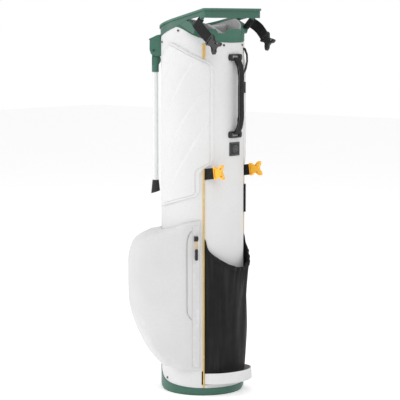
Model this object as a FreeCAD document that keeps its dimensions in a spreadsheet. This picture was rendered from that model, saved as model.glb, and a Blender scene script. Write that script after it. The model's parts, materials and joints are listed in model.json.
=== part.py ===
"""Slim golf stand bag: a fabric tube on a moulded base, with a moulded top cuff, four club wells,
two short stand legs, one side ball pocket, a stretch pouch, a trunk handle and a base lift handle.

Frame: +Z up, +X towards the spine (the side with the handles), -X towards the legs, Y across the
flanks. The origin is the centre of the base's underside. Millimetres.
"""
import FreeCAD
import Part

import math
import os

V = FreeCAD.Vector
Z_AXIS = V(0, 0, 1)

DIMENSIONS = {
    "shell_radius": 95.0, "shell_wall": 2.5, "fit_gap": 0.3,
    "bag_height": 880.0,
    "cup_wall": 3.0, "cup_height": 80.0, "cup_floor": 5.0, "lip_radius": 96.3, "lip_height": 18.0,
    "cup_bottom_round": 10.0,
    "cuff_skirt_bottom": 772.0, "cuff_wall": 4.5, "bar_reach": 100.0,
    "bar_half_width": 96.0, "rim_corner": 16.0, "rim_lip": 2.5,
    "liner_wall": 3.0, "divider_thick": 12.0, "divider_top": 846.0, "divider_height": 46.0,
    "stay_radius": 2.5, "stay_circle": 86.0,
    "leg_angle": 38.0, "pivot_reach": 111.1, "pivot_height": 785.1, "leg_reach": 108.4,
    "leg_tube_radius": 6.4, "leg_tube_bottom": 471.0, "leg_tube_top": 758.0, "socket_radius": 8.0,
    "pin_radius": 2.5, "pin_gap": 0.05, "bracket_width": 26.0, "bracket_cavity": 19.0,
    "rod_radius": 2.5, "rod_reach": 83.0, "rod_top": 766.0,
    "lever_width": 6.0, "lever_pin_x": -60.0, "lever_pin_z": 10.0, "lever_arm": 28.0,
    "piping_angle": 48.3, "piping_radius": 1.6, "piping_bottom": 19.0, "piping_top": 521.0,
    "panel_rise": 3.0, "panel_step": 1.4, "pocket_wall": 2.5, "pouch_wall": 1.6,
    "band_thick": 3.0, "lift_bottom": 27.0, "lift_height": 24.5, "lift_reach": 128.5,
    "webbing_width": 25.0, "webbing_thick": 2.0, "buckle_thick": 7.0, "strut_radius": 4.5,
    "anchor_height": 508.5, "anchor_tilt": 8.0, "anchor_y": 69.3, "strap_tail": 50.0, "loop_gap": 0.6,
    "handle_width": 22.0, "handle_thick": 5.0, "handle_low": 596.5, "handle_high": 770.5,
    "patch_width": 35.0, "patch_height": 30.5, "patch_height_mid": 563.6,
    "zip_top": 392.0, "zip_bottom": 68.0, "slider_top": 369.0, "rivet_radius": 2.4,
}

doc = FreeCAD.newDocument("golf_stand_bag")
sheet = doc.addObject("Spreadsheet::Sheet", "dims")
for row, (alias, value) in enumerate(DIMENSIONS.items(), start=1):
    sheet.set(f"A{row}", alias)
    sheet.set(f"B{row}", str(value))
    sheet.setAlias(f"B{row}", alias)
doc.recompute()

sub_parts = []


def dim(alias):
    """A driving dimension, read from the spreadsheet."""
    return float(sheet.get(alias))


def bind(item, **expressions):
    """Binds properties of an object to expressions over the spreadsheet."""
    for prop, text in expressions.items():
        item.setExpression(prop.replace("__", "."), text)
    return item


def at(item, x=0, y=0, z=0, axis=Z_AXIS, angle=0):
    item.Placement = FreeCAD.Placement(V(x, y, z), FreeCAD.Rotation(axis, angle))
    return item


def cylinder(name, radius, height, **place):
    item = doc.addObject("Part::Cylinder", name)
    bind(item, Radius=str(radius), Height=str(height))
    return at(item, **place)


def box(name, length, width, height, **place):
    item = doc.addObject("Part::Box", name)
    bind(item, Length=str(length), Width=str(width), Height=str(height))
    return at(item, **place)


def cut(name, base, *tools):
    tool = tools[0] if len(tools) == 1 else fuse(name + "_tools", *tools)
    item = doc.addObject("Part::Cut", name)
    item.Base, item.Tool = base, tool
    return item


def fuse(name, *shapes):
    item = doc.addObject("Part::MultiFuse", name)
    item.Shapes = list(shapes)
    return item


def common(name, *shapes):
    item = doc.addObject("Part::MultiCommon", name)
    item.Shapes = list(shapes)
    return item


def tube(name, outer, wall, height, z=0.0):
    """A round tube along Z: outer radius, wall and height are expressions."""
    body = cylinder(name + "_outer", outer, height, z=z)
    hole = cylinder(name + "_hole", f"({outer}) - ({wall})", f"({height}) + 2", z=z - 1)
    return cut(name, body, hole)


def outline(name, edges, axis=Z_AXIS, angle=0, x=0, y=0, z=0):
    """A closed sketch from Part curves drawn in the sketch's own plane."""
    sketch = doc.addObject("Sketcher::SketchObject", name)
    for edge in edges:
        sketch.addGeometry(edge, False)
    return at(sketch, x, y, z, axis, angle)


def polygon(points):
    """Line segments that close a list of (u, v) points."""
    vectors = [V(u, v, 0) for u, v in points]
    return [Part.LineSegment(a, b) for a, b in zip(vectors, vectors[1:] + vectors[:1])]


def smooth_top(top, bottom):
    """A curve through the points of top, closed by straight lines down to the level bottom."""
    curve = Part.BSplineCurve()
    curve.interpolate([V(u, v, 0) for u, v in top])
    first, last = top[0], top[-1]
    corners = [last, (last[0], bottom), (first[0], bottom), first]
    lines = [Part.LineSegment(V(*a, 0), V(*b, 0)) for a, b in zip(corners, corners[1:])]
    return [curve] + lines


def extrude(name, sketch, length, symmetric=True):
    item = doc.addObject("Part::Extrusion", name)
    item.Base, item.DirMode, item.Solid, item.Symmetric = sketch, "Normal", True, symmetric
    bind(item, LengthFwd=str(length))
    return item


def side_profile(name, edges, width=400, y=0.0):
    """Extrudes an outline drawn in X and Z along Y, half each way of y."""
    return extrude(name, outline(name + "_sketch", edges, V(1, 0, 0), 90, y=y), width)


def plan_profile(name, edges, height, z=0.0):
    """Extrudes an outline drawn in X and Y upwards from z."""
    return extrude(name, outline(name + "_sketch", edges, z=z), height, symmetric=False)


def feature(name, shape, placement=None):
    """A sub-part whose shape is worked out with Part's own functions."""
    item = doc.addObject("Part::Feature", name)
    item.Shape = shape
    if placement:
        item.Placement = placement
    return item


def sub_part(item, label):
    item.Label = label
    sub_parts.append(item)
    return item


def turned(item, name, label, angle):
    """A sub-part made in the leg's own frame (+X outwards), turned about the bag's axis."""
    doc.recompute()
    placement = FreeCAD.Placement(V(0, 0, 0), FreeCAD.Rotation(Z_AXIS, angle))
    return sub_part(feature(name, item.Shape.copy(), placement), label)


def mirrored(item, name, label):
    """A sub-part that is the mirror image of another across the plane of the spine."""
    mirror = doc.addObject("Part::Mirroring", name)
    mirror.Source, mirror.Base, mirror.Normal = item, V(0, 0, 0), V(0, 1, 0)
    return sub_part(mirror, label)


SIDES = (("left", -1), ("right", 1))
R = dim("shell_radius")

# Heights of the fabric's top edge against X: low over the spine, high at the flank.
FABRIC_TOP = [(-100, 806), (-62, 821), (-22, 837), (0, 839), (20, 833.5), (38, 823), (60, 813),
              (80, 806), (100, 803)]
# Heights of its bottom edge: nearly level at the spine, cut up over the base at the legs.
FABRIC_BOTTOM = [(-100, 74), (-80, 58), (-62, 42), (-50, 33), (-27, 25), (4, 21), (40, 18.5),
                 (100, 18)]


def top_envelope(name, drop=0.0):
    return side_profile(name, smooth_top([(x, z - drop) for x, z in FABRIC_TOP], -20))


def bottom_envelope(name, rise=0.0, above=False):
    """Everything below the fabric's bottom edge, or everything above it."""
    line = [(x, z + rise) for x, z in FABRIC_BOTTOM]
    return side_profile(name, smooth_top(line, 300 if above else -40))


# ---------------------------------------------------------------- base and its heel lever
def make_base():
    lip = cylinder("base_lip", "dims.lip_radius", "dims.lip_height - 0.5")
    lower_edge = doc.addObject("Part::Fillet", "base_lip_rounded")
    lower_edge.Base = lip
    doc.recompute()
    rim = [n for n, e in enumerate(lip.Shape.Edges, 1)
           if isinstance(e.Curve, Part.Circle) and abs(e.Curve.Center.z) < 0.01]
    bottom_round = dim("cup_bottom_round")
    lower_edge.Edges = [(rim[0], bottom_round, bottom_round)]
    collar = cut("base_collar",
                 tube("base_ring", "dims.lip_radius", "dims.cup_wall + 2", 64,
                      z=dim("lip_height") - 4),
                 bottom_envelope("base_fabric_line", rise=-0.4, above=True))
    wall = cylinder("base_wall", "dims.shell_radius - dims.shell_wall - dims.fit_gap",
                    "dims.cup_height")
    hollow = cylinder("base_hollow",
                      "dims.shell_radius - dims.shell_wall - dims.fit_gap - dims.cup_wall",
                      "dims.cup_height", z=dim("cup_floor"))
    side = dim("lever_width") / 2 + 2.5
    slot = box("lever_slot", 76, 2 * side, 34, x=-102, y=-side, z=-5)
    eye_slot = box("rod_eye_slot", 22, 5, 34, x=-48, y=side - 0.5, z=-5)
    cup = cut("base_cup_open", fuse("base_solid", lower_edge, collar, wall), hollow)
    lug_at = dim("lever_pin_x"), dim("lever_pin_z")
    lugs = [box(f"lever_lug_{side}", 12, 4, 10, x=lug_at[0] - 6, y=y, z=dim("cup_floor") - 1)
            for side, y in (("left", -9.5), ("right", 5.5))]
    pin_hole = cylinder("lever_pin_hole", "dims.pin_radius - 0.5 + dims.pin_gap", 30,
                        x=lug_at[0], y=15, z=lug_at[1], axis=V(1, 0, 0), angle=90)
    shaped = cut("base_cup_shape", fuse("base_with_lugs", cut("base_slotted", cup, slot, eye_slot), *lugs),
                 pin_hole)
    sub_part(shaped, "base_cup")
    pin = cylinder("lever_pin", "dims.pin_radius - 0.5", 20, x=lug_at[0], y=10, z=lug_at[1],
                   axis=V(1, 0, 0), angle=90)
    sub_part(pin, "heel_lever_pin")
    make_lever(*lug_at)


def make_lever(x, z):
    """First-class lever: its nose sits in the base's front edge, its tail pulls the rod down."""
    arm, half = dim("lever_arm"), 3.0
    tilt = math.radians(6.6)
    along, across = V(math.cos(tilt), 0, math.sin(tilt)), V(-math.sin(tilt), 0, math.cos(tilt))

    def spot(a, c):
        point = V(x, 0, z) + along * a + across * c
        return point.x, point.z

    bar = [spot(-arm, half), spot(arm, half), spot(arm, -half), spot(-arm + 8, -half),
           (x - arm + 6, 1.0), (x - arm - 4, 1.0), spot(-arm - 4, 0)]
    plate = side_profile("lever_bar", polygon(bar), "dims.lever_width")
    bore = cylinder("lever_bore", "dims.pin_radius - 0.5 + dims.pin_gap", 30, x=x, y=15, z=z,
                    axis=V(1, 0, 0), angle=90)
    tail_x, tail_z = spot(arm - 4, 0)
    peg = cylinder("lever_peg", 1.4, 8, x=tail_x, y=9, z=tail_z, axis=V(1, 0, 0), angle=90)
    sub_part(fuse("heel_lever", cut("lever_bored", plate, bore), peg), "heel_lever")
    return tail_x, tail_z


def make_pull_rod():
    """Bent wire inside the bag: eye on the lever's tail, run up the wall, cross bar to the legs."""
    radius, reach, top = dim("rod_radius"), dim("rod_reach"), dim("rod_top")
    tilt = math.radians(6.6)
    tail = V(dim("lever_pin_x"), 0, dim("lever_pin_z"))
    tail += V(math.cos(tilt), 0, math.sin(tilt)) * (dim("lever_arm") - 4)
    foot_y = 6.2
    eye = Part.makeCylinder(4.6, 2.4, V(tail.x, foot_y - 1.2, tail.z), V(0, 1, 0))
    eye = eye.cut(Part.makeCylinder(2.2, 4, V(tail.x, foot_y - 2, tail.z), V(0, 1, 0)))
    flat = Part.makeBox(reach + tail.x - 3, 2.4, 4, V(-reach, foot_y - 1.2, tail.z + 9))
    riser = Part.makeBox(4, 2.4, 10, V(tail.x - 6.4, foot_y - 1.2, tail.z + 3))
    wire = Part.makeCylinder(radius, top - tail.z - 9, V(-reach, foot_y, tail.z + 9))
    lean = math.radians(dim("leg_angle"))
    ring = Part.makeTorus(reach, radius, V(0, 0, top), Z_AXIS)
    wedge = Part.makeBox(2 * reach, 2 * reach * math.sin(lean), 20,
                         V(-2 * reach - 30, -reach * math.sin(lean), top - 10))
    shape = eye.fuse([flat, riser, wire, ring.common(wedge)])
    for side in (-1, 1):
        out = V(-math.cos(lean), side * math.sin(lean), 0)
        shape = shape.fuse(Part.makeCylinder(radius, 12, V(0, 0, top) + out * (reach - 1), out))
    sub_part(feature("pull_rod", shape.removeSplitter()), "leg_pull_rod")


# ---------------------------------------------------------------- body tube and stays
def leg_slots(name):
    """Two upright slots in the wall, behind the leg brackets, for the pull rod's arms."""
    slots = []
    for side, sign in SIDES:
        turn = 180 + sign * -dim("leg_angle")
        slot = box(f"{name}_{side}", 24, 9, 24)
        centre = FreeCAD.Placement(V(), FreeCAD.Rotation(Z_AXIS, turn)).multVec(V(80, -4.5, 752))
        slot.Placement = FreeCAD.Placement(centre, FreeCAD.Rotation(Z_AXIS, turn))
        slots.append(slot)
    return slots


def make_body(cuff):
    wall = tube("body_tube", "dims.shell_radius", "dims.shell_wall", 860)
    trimmed = common("body_trimmed", wall, top_envelope("body_top"))
    sub_part(cut("body_shell", trimmed, bottom_envelope("body_bottom"), cuff,
                 *leg_slots("body_slot")), "body_shell")
    for name, angle in (("left", -118), ("right", 118), ("spine", 0)):
        turn = math.radians(angle)
        reach = dim("stay_circle")
        rod = cylinder(f"stay_{name}", "dims.stay_radius",
                       "dims.cuff_skirt_bottom + 20 - dims.cup_floor",
                       x=reach * math.cos(turn), y=reach * math.sin(turn), z=dim("cup_floor"))
        sub_part(rod, f"{name}_stay_rod")


# ---------------------------------------------------------------- top cuff, liner and dividers
def rim_edges(grow=0.0):
    """The rim in plan: half a circle at the legs, a straight bar with round corners at the spine."""
    reach, half = dim("bar_reach") + grow, dim("bar_half_width") + grow
    corner = dim("rim_corner") + grow
    bend = corner * (1 - math.sqrt(0.5))
    arc_mid = V(-half, 0, 0)
    return [
        Part.Arc(V(0, half, 0), arc_mid, V(0, -half, 0)),
        Part.LineSegment(V(0, -half, 0), V(reach - corner, -half, 0)),
        Part.Arc(V(reach - corner, -half, 0), V(reach - bend, -half + bend, 0),
                 V(reach, -half + corner, 0)),
        Part.LineSegment(V(reach, -half + corner, 0), V(reach, half - corner, 0)),
        Part.Arc(V(reach, half - corner, 0), V(reach - bend, half - bend, 0),
                 V(reach - corner, half, 0)),
        Part.LineSegment(V(reach - corner, half, 0), V(0, half, 0)),
    ]


def rim_line(drop=0.0):
    """Height of the rim against X: a slope from the legs, then level over the spine."""
    top = dim("bag_height") - drop
    return [(-110, top - 52), (-92, top - 44), (-60, top - 36), (0, top - 21), (84, top),
            (110, top)]


def slab(name, upper, lower):
    """Everything between two lines drawn in X and Z."""
    return side_profile(name, polygon(upper + lower[::-1]))


def rim_wall(name, grow, wall, height, z):
    outer = plan_profile(name + "_outer", rim_edges(grow), height, z=z)
    inner = plan_profile(name + "_inner", rim_edges(grow - wall), height + 2, z=z - 1)
    return cut(name, outer, inner)


STRUT_FOOT, STRUT_HEAD = (50, 90, 832), (80, 92, 864)


def strut_ends(sign):
    return V(STRUT_FOOT[0], sign * STRUT_FOOT[1], STRUT_FOOT[2]), \
        V(STRUT_HEAD[0], sign * STRUT_HEAD[1], STRUT_HEAD[2])


def flank_gusset(name, sign):
    """The thick web that carries the rim out from the round collar at one flank."""
    edges = [(0, 848), (17, 842), (30, 834), (52, 823), (55, 826), (57, 833), (47, 846),
             (32, 853.5), (32, 861), (0, 854)]
    web = extrude(name + "_web", outline(name + "_sketch", polygon(edges), V(1, 0, 0), 90,
                                         y=sign * 75), 80)
    plan = plan_profile(name + "_plan", rim_edges(-0.6), 100, z=790)
    hollow = cylinder(name + "_hollow", "dims.shell_radius - 4", 200, z=750)
    return cut(name, common(name + "_part", web, plan), hollow)


def make_cuff():
    wall = dim("cuff_wall")
    skirt = tube("cuff_skirt", "dims.shell_radius - dims.shell_wall - dims.fit_gap", 3.2, 90,
                 z=dim("cuff_skirt_bottom"))
    collar = cut("cuff_collar",
                 tube("cuff_ring", "dims.shell_radius + 0.8", "dims.cuff_wall + 2.8", 60, z=800),
                 top_envelope("cuff_fabric_line", drop=-0.4))
    # The collar reaches the rim over the legs and flanks; over the spine it is a low wall.
    upper = rim_line(6)
    collar_top = upper[:4] + [(32, 853.5), (47, 846), (56, 837), (62, 834), (110, 834),
                              (110, 760), (-110, 760)]
    low_wall = common("cuff_low_wall", fuse("cuff_walls", skirt, collar),
                      side_profile("cuff_low_line", polygon(collar_top)))
    notches = []
    for side, sign in SIDES:
        dip = extrude(f"cuff_notch_{side}",
                      outline(f"cuff_notch_{side}_sketch",
                              polygon([(-19, 836), (-10, 824), (10, 824), (19, 836)]),
                              V(1, 0, 0), 90), 60)
        turn = FreeCAD.Rotation(Z_AXIS, 90 + sign * 22)
        reach = V(math.cos(math.radians(sign * 22)), math.sin(math.radians(sign * 22)), 0) * 90
        dip.Placement = FreeCAD.Placement(reach, turn)
        notches.append(dip)
    band_line = [(-110, 800), (0, 838), (32, 853.5), (66, 861), (84, 859), (110, 858)]
    band = common("cuff_band", rim_wall("rim_band", 0, wall, 90, 800),
                  slab("rim_band_slab", rim_line(), band_line))
    lip = common("cuff_lip", rim_wall("rim_lip", dim("rim_lip"), wall + 3.5, 90, 800),
                 slab("rim_lip_slab", rim_line(), rim_line(5)))
    extras = []
    for side, sign in SIDES:
        foot, head = strut_ends(sign)
        axis = head - foot
        rod = cylinder(f"cuff_strut_{side}", "dims.strut_radius", axis.Length)
        rod.Placement = FreeCAD.Placement(foot, FreeCAD.Rotation(Z_AXIS, axis))
        extras += [rod, flank_gusset(f"gusset_{side}", sign)]
    whole = fuse("cuff_whole", cut("cuff_notched", low_wall, *notches), band, lip, *extras)
    return sub_part(cut("cuff", whole, *leg_slots("cuff_slot")), "top_cuff")


# Height of the dividers' padded tops against X.
DIVIDER_LINE = [(-110, 812), (-60, 830), (0, 846), (22, 846), (62, 827), (110, 822)]


def make_liner_and_dividers():
    ring = tube("liner_ring", "dims.shell_radius - dims.shell_wall - dims.fit_gap - 3.2 - 0.8",
                "dims.liner_wall", 80, z=dim("cuff_skirt_bottom") + 20)
    top = [(x, z - 7) for x, z in rim_line()[:4]] + [(28, 857), (46, 853), (62, 845), (71, 837),
                                                  (77, 826), (110, 823)]
    sub_part(common("cuff_liner", ring, slab("liner_line", top, [(-110, 700), (110, 700)])),
             "cuff_liner")
    half, thick = 84.9, dim("divider_thick")
    low = dim("divider_top") - dim("divider_height")
    arm = half - thick / 2
    bars = {"cross": (0, 2 * half, 90), "leg_side": (-(half + thick / 2) / 2, arm, 0),
            "spine_side": ((half + thick / 2) / 2, arm, 0)}
    for name, (middle, length, turn) in bars.items():
        pad = box(f"divider_{name}", length, "dims.divider_thick", "dims.divider_height")
        rotation = FreeCAD.Rotation(Z_AXIS, turn)
        corner = rotation.multVec(V(-length / 2, -thick / 2, 0))
        pad.Placement = FreeCAD.Placement(V(middle, 0, low) + corner, rotation)
        line = slab(f"divider_{name}_line", DIVIDER_LINE, [(-110, 700), (110, 700)])
        sub_part(common(f"divider_{name}_cut", pad, line), f"{name}_divider_pad")
    sheets = {"cross": (-0.8, -81, 1.6, 162), "leg_side": (-74, -0.8, 73.2, 1.6),
              "spine_side": (0.8, -0.8, 80.2, 1.6)}
    for name, (x, y, length, width) in sheets.items():
        panel = box(f"divider_sheet_{name}", length, width,
                    "dims.divider_top - dims.divider_height - 31", x=x, y=y, z=31)
        sub_part(panel, f"{name}_divider_sheet")


# ---------------------------------------------------------------- stand legs
def make_leg_shapes():
    """Bracket, pin, socket, tube and foot in the leg's own frame: +X is outwards from the bag."""
    pivot_x, pivot_z, reach = dim("pivot_reach"), dim("pivot_height"), dim("leg_reach")
    width, cavity_width = dim("bracket_width"), dim("bracket_cavity")
    across = {"y": 30, "z": pivot_z, "axis": V(1, 0, 0), "angle": 90}
    shell = [(88, 772), (104, 772), (114.6, 774.3), (118.2, 778), (120.8, 787), (120.4, 808.4),
             (122.2, 809), (121.9, 811.5), (104, 819.8), (88, 823)]
    housing = side_profile("bracket_block", polygon(shell), "dims.bracket_width")
    cavity = side_profile("bracket_cavity", polygon(
        [(R - 1, 740), (140, 740), (140, 790), (117.6, 790), (117.6, 804), (R + 3, 812),
         (R + 3, 779), (R - 1, 777)]),
        "dims.bracket_cavity")
    body = cylinder("bracket_body_cut", "dims.shell_radius + dims.fit_gap", 112, z=700)
    collar = cylinder("bracket_collar_cut", "dims.shell_radius + 1.1", 100, z=808.5)
    pin_hole = cylinder("bracket_pin_hole", "dims.pin_radius", 60, x=pivot_x, **across)
    bracket = cut("bracket", housing, cavity, body, collar, pin_hole)
    heads = [cylinder(f"pin_head_{n}", 2.9, 1.4, x=pivot_x, y=y, z=pivot_z, axis=V(1, 0, 0),
                      angle=90) for n, y in ((1, width / 2 + 1.4), (2, -width / 2))]
    shank = cylinder("pin_shank", "dims.pin_radius", "dims.bracket_width", x=pivot_x,
                     y=width / 2, z=pivot_z, axis=V(1, 0, 0), angle=90)
    pin = fuse("pivot_pin", shank, *heads)
    knuckle = cylinder("socket_knuckle", 6.4, cavity_width - 2, x=pivot_x,
                       y=(cavity_width - 2) / 2, z=pivot_z, axis=V(1, 0, 0), angle=90)
    neck = box("socket_neck", 13.6, 14, 28, x=reach - 6.4, y=-7, z=752)
    barrel = cylinder("socket_barrel", "dims.socket_radius", 34, x=reach, z=735.7)
    crank = side_profile("socket_crank", polygon(
        [(pivot_x, 783), (101, 777.5), (98.8, 775.7), (96.6, 769.4), (95.7, 764.3), (96, 759.7),
         (100.5, 752), (pivot_x, 752)]), 8)
    hole = cylinder("socket_pin_hole", "dims.pin_radius + dims.pin_gap", 60, x=pivot_x, **across)
    tube_hole = cylinder("socket_tube_hole", "dims.leg_tube_radius", 40, x=reach,
                         z=dim("leg_tube_top") - 40)
    socket = cut("socket", fuse("socket_block", knuckle, neck, barrel, crank), hole, tube_hole)
    length = "dims.leg_tube_top - dims.leg_tube_bottom"
    tube_shape = cut("leg_tube",
                     cylinder("leg_tube_outer", "dims.leg_tube_radius", length, x=reach,
                              z=dim("leg_tube_bottom")),
                     cylinder("leg_tube_inner", "dims.leg_tube_radius - 1", length + " + 2",
                              x=reach, z=dim("leg_tube_bottom") - 1))
    return {"leg_bracket": bracket, "leg_pivot_pin": pin, "leg_socket": socket,
            "leg_tube": tube_shape, "leg_foot": make_foot(reach)}


def make_foot(reach):
    """Rubber foot: a flared boot over the tube's end, cut on the slant to sit flat when splayed."""
    cone = doc.addObject("Part::Cone", "foot_cone")
    cone.Radius1, cone.Radius2, cone.Height = 11.0, 7.4, 35
    at(cone, x=reach, z=452)
    socket = cylinder("foot_socket", "dims.leg_tube_radius", 40, x=reach,
                      z=dim("leg_tube_bottom"))
    slant = side_profile("foot_slant", polygon([(80, 468), (140, 449.2), (140, 430), (80, 430)]))
    return cut("leg_foot", cone, socket, slant)


def make_legs():
    shapes = make_leg_shapes()
    for side, sign in SIDES:
        turn = 180 - sign * dim("leg_angle")
        for node, shape in shapes.items():
            turned(shape, f"{side}_{node}_placed", f"{side}_{node}", turn)


# ---------------------------------------------------------------- side panels and ball pocket
# The side panel's raised border and the sculpted field inside it, in X and Z.
PANEL_BORDER = [(-57, 740), (-47, 774), (-30, 796), (-12, 803), (-1.3, 800.4), (19, 791.5),
                (39.5, 779.8), (57, 771), (72.6, 761), (78, 751), (79, 735), (79, 547),
                (75.5, 530.3), (63.5, 520.5), (57.4, 510.6), (56.8, 471), (50.8, 459.6),
                (15.4, 448.2), (-39.8, 432.8), (-57, 429)]
PANEL_FIELD = [(-51, 738), (-41, 768), (-26, 788), (-13.3, 796.5), (12.7, 787), (39.5, 773.6),
               (56.8, 764.7), (69.7, 756.3), (74, 750), (74.3, 538.8), (69.7, 531.8),
               (54.5, 521.9), (49, 511.9), (49, 468), (44.6, 463), (15.5, 454), (-39.8, 438.5),
               (-51, 436)]


def make_side_panels():
    tiers = []
    for name, edges, rise in (("border", PANEL_BORDER, "dims.panel_rise"),
                              ("field", PANEL_FIELD, "dims.panel_rise + dims.panel_step")):
        ring = tube(f"panel_{name}_ring", f"dims.shell_radius + dims.fit_gap + {rise}", rise, 420,
                    z=410)
        shape = side_profile(f"panel_{name}_outline", polygon(edges), 200, y=-100)
        tiers.append(common(f"panel_{name}", ring, shape))
    left = sub_part(fuse("left_panel", *tiers), "left_side_panel")
    mirrored(left, "right_panel", "right_side_panel")


POCKET_PLAN = [(64, -72.5), (36, -102), (2, -127), (-38, -145), (-80, -151), (-108, -138),
               (-120, -112), (-113, -78), (-92, -42)]
# The pocket's outline seen square on to its face: across (towards the spine) and up.
POCKET_FACE = [(14, 412), (-3, 408.5), (-21, 404), (-43, 397.5), (-63, 389), (-92, 379),
               (-114, 373.5), (-135, 366), (-152, 356), (-162, 344), (-168, 328), (-171, 306),
               (-171.5, 281), (-170, 218), (-167, 204), (-161, 184), (-148, 154), (-133.5, 125),
               (-115, 95), (-104, 81), (-93, 69), (-80, 63.5), (-60, 60), (-37, 57.5), (14, 56.5)]
FACE_TURN = 40.0


def pocket_curve(inset=0.0):
    points = [V(x, y, 0) for x, y in POCKET_PLAN]
    middle = V(-30, -70, 0)
    points = [p + (middle - p).normalize() * inset for p in points]
    curve = Part.BSplineCurve()
    curve.interpolate(points)
    return curve, points


def pocket_spot(across):
    """Point and outward bearing (degrees) of the pocket's face at a distance across the face."""
    turn = math.radians(FACE_TURN)
    along = V(math.cos(turn), math.sin(turn), 0)
    curve = pocket_curve()[0]
    low, high = curve.FirstParameter, curve.LastParameter
    steps = [low + (high - low) * n / 600 for n in range(200)]
    best = min(steps, key=lambda u: abs(curve.value(u).dot(along) - across))
    tangent = curve.tangent(best)[0]
    return curve.value(best), math.degrees(math.atan2(tangent.x, -tangent.y))


def pocket_solid(name, inset):
    """The ball pocket's block: a curved plan, cut to its outline as seen square on to its face."""
    curve, points = pocket_curve(inset)
    edges = [curve, Part.LineSegment(points[-1], V(0, 0, 0)),
             Part.LineSegment(V(0, 0, 0), points[0])]
    column = plan_profile(name + "_column", edges, 420, z=20)
    centre = V(-70, 225, 0)
    face = [V(u, z, 0) + (centre - V(u, z, 0)).normalize() * inset for u, z in POCKET_FACE]
    view = outline(name + "_face", polygon([(p.x, p.y) for p in face]))
    view.Placement = FreeCAD.Placement(V(0, 0, 0), FreeCAD.Rotation(Z_AXIS, FACE_TURN)
                                       .multiply(FreeCAD.Rotation(V(1, 0, 0), 90)))
    slab_solid = extrude(name + "_slab", view, 700)
    away = cylinder(name + "_body", f"dims.shell_radius + dims.fit_gap + {inset}", 500)
    return cut(name, common(name + "_block", column, slab_solid), away)


def seam_place(sign):
    """Where a seam's piping stands in plan."""
    turn = math.radians(dim("piping_angle"))
    reach = R + dim("piping_radius")
    return reach * math.cos(turn), sign * reach * math.sin(turn)


def make_ball_pocket():
    outer = pocket_solid("pocket_outer", 0.0)
    inner = pocket_solid("pocket_inner", dim("pocket_wall"))
    x, y = seam_place(-1)
    seam = cylinder("pocket_seam", "dims.piping_radius + 0.05", 500, x=x, y=y)
    sub_part(cut("ball_pocket", outer, inner, seam), "ball_pocket")
    return outer


ZIP_SPOT, ZIP_TURN = pocket_spot(-15.0)


def on_zip(item, out, along, z):
    """Moves an object made about the origin (face towards +X) to the zip's place on the pocket."""
    turn = FreeCAD.Rotation(Z_AXIS, ZIP_TURN)
    item.Placement = FreeCAD.Placement(ZIP_SPOT + turn.multVec(V(out, along, 0)) + V(0, 0, z),
                                       turn)
    return item


def make_zip():
    top = dim("slider_top")
    tape = box("zip_tape_box", 1.6, 14.4, dim("zip_top") - dim("zip_bottom"))
    on_zip(tape, 0.3, -7.2, dim("zip_bottom"))
    sub_part(tape, "pocket_zip_tape")
    body = box("zip_slider_block", 4.2, 9, 11)
    on_zip(body, 2.2, -4.5, top - 11)
    staple = box("zip_slider_staple", 3.4, 3, 8)
    on_zip(staple, 6.0, -1.5, top - 10)
    eye = cylinder("zip_slider_eye", 1.3, 6)
    on_zip(eye, 8.0, 3, top - 7)
    eye.Placement = eye.Placement.multiply(
        FreeCAD.Placement(V(0, 0, 0), FreeCAD.Rotation(V(1, 0, 0), 90)))
    sub_part(cut("zip_slider", fuse("zip_slider_solid", body, staple), eye), "pocket_zip_slider")
    cord = box("zip_cord_box", 2.2, 4.4, 18)
    on_zip(cord, 9.8, -2.2, top - 28)
    sub_part(cord, "zip_pull_cord")
    grip = box("zip_grip_box", 4.6, 9.4, 26)
    on_zip(grip, 8.6, -4.7, top - 54)
    sub_part(grip, "zip_pull_grip")


# ---------------------------------------------------------------- pouch and base lift handle
def bulge_circle(reach, z, grow=0.0):
    """A level circle through the two side seams that bulges over the spine as far as reach."""
    turn = math.radians(dim("piping_angle") - 0.9)
    x, y = (R + 1.2) * math.cos(turn), (R + 1.2) * math.sin(turn)
    centre = (reach * reach - x * x - y * y) / (2 * (reach - x))
    return Part.Circle(V(centre, 0, z), Z_AXIS, reach - centre + grow)


# Reach of the pouch's bulge at each height.
POUCH_BULGE = [(26, 99), (50, 100.5), (75, 102), (130, 105.5), (185, 108), (242, 110.5),
               (300, 117), (366, 122)]
# Height of the pouch's open edge against X: high at the seams, low in the middle.
POUCH_EDGE = [(58, 366), (66, 360), (72, 341), (88, 323), (104, 308), (116, 297), (132, 294)]


def bulge_solid(grow):
    wires = [Part.Wire(bulge_circle(reach, z, grow).toShape()) for z, reach in POUCH_BULGE]
    return Part.makeLoft(wires, True, False)


def make_pouch(pocket):
    wall = dim("pouch_wall")
    clear = Part.makeCylinder(R + dim("fit_gap"), 500)
    seams = [Part.makeCylinder(dim("piping_radius") + 0.05, 600, V(*seam_place(sign), 0))
             for side, sign in SIDES]
    edge = side_profile("pouch_edge", smooth_top(POUCH_EDGE, 0))
    hem_edge = side_profile("pouch_hem_edge", smooth_top([(x, z - 9) for x, z in POUCH_EDGE], 0))
    doc.recompute()
    outer, inner = bulge_solid(0), bulge_solid(-wall)
    floor = Part.makeBox(200, 300, 2.4, V(0, -150, 26))
    front = Part.makeBox(200, 300, 500, V(60, -150, 0))
    skin = outer.cut(inner).fuse(outer.common(floor)).cut(clear).common(edge.Shape)
    skin = skin.common(front).cut([pocket.Shape] + seams)
    sub_part(feature("pouch", skin.removeSplitter()), "stretch_pouch")
    hem = bulge_solid(1.7).cut(bulge_solid(0.05)).cut(clear)
    hem = hem.common(edge.Shape).cut(hem_edge.Shape)
    hem = hem.common(Part.makeBox(200, 300, 500, V(66.5, -150, 0)))
    sub_part(feature("pouch_hem", hem), "pouch_hem")


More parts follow.
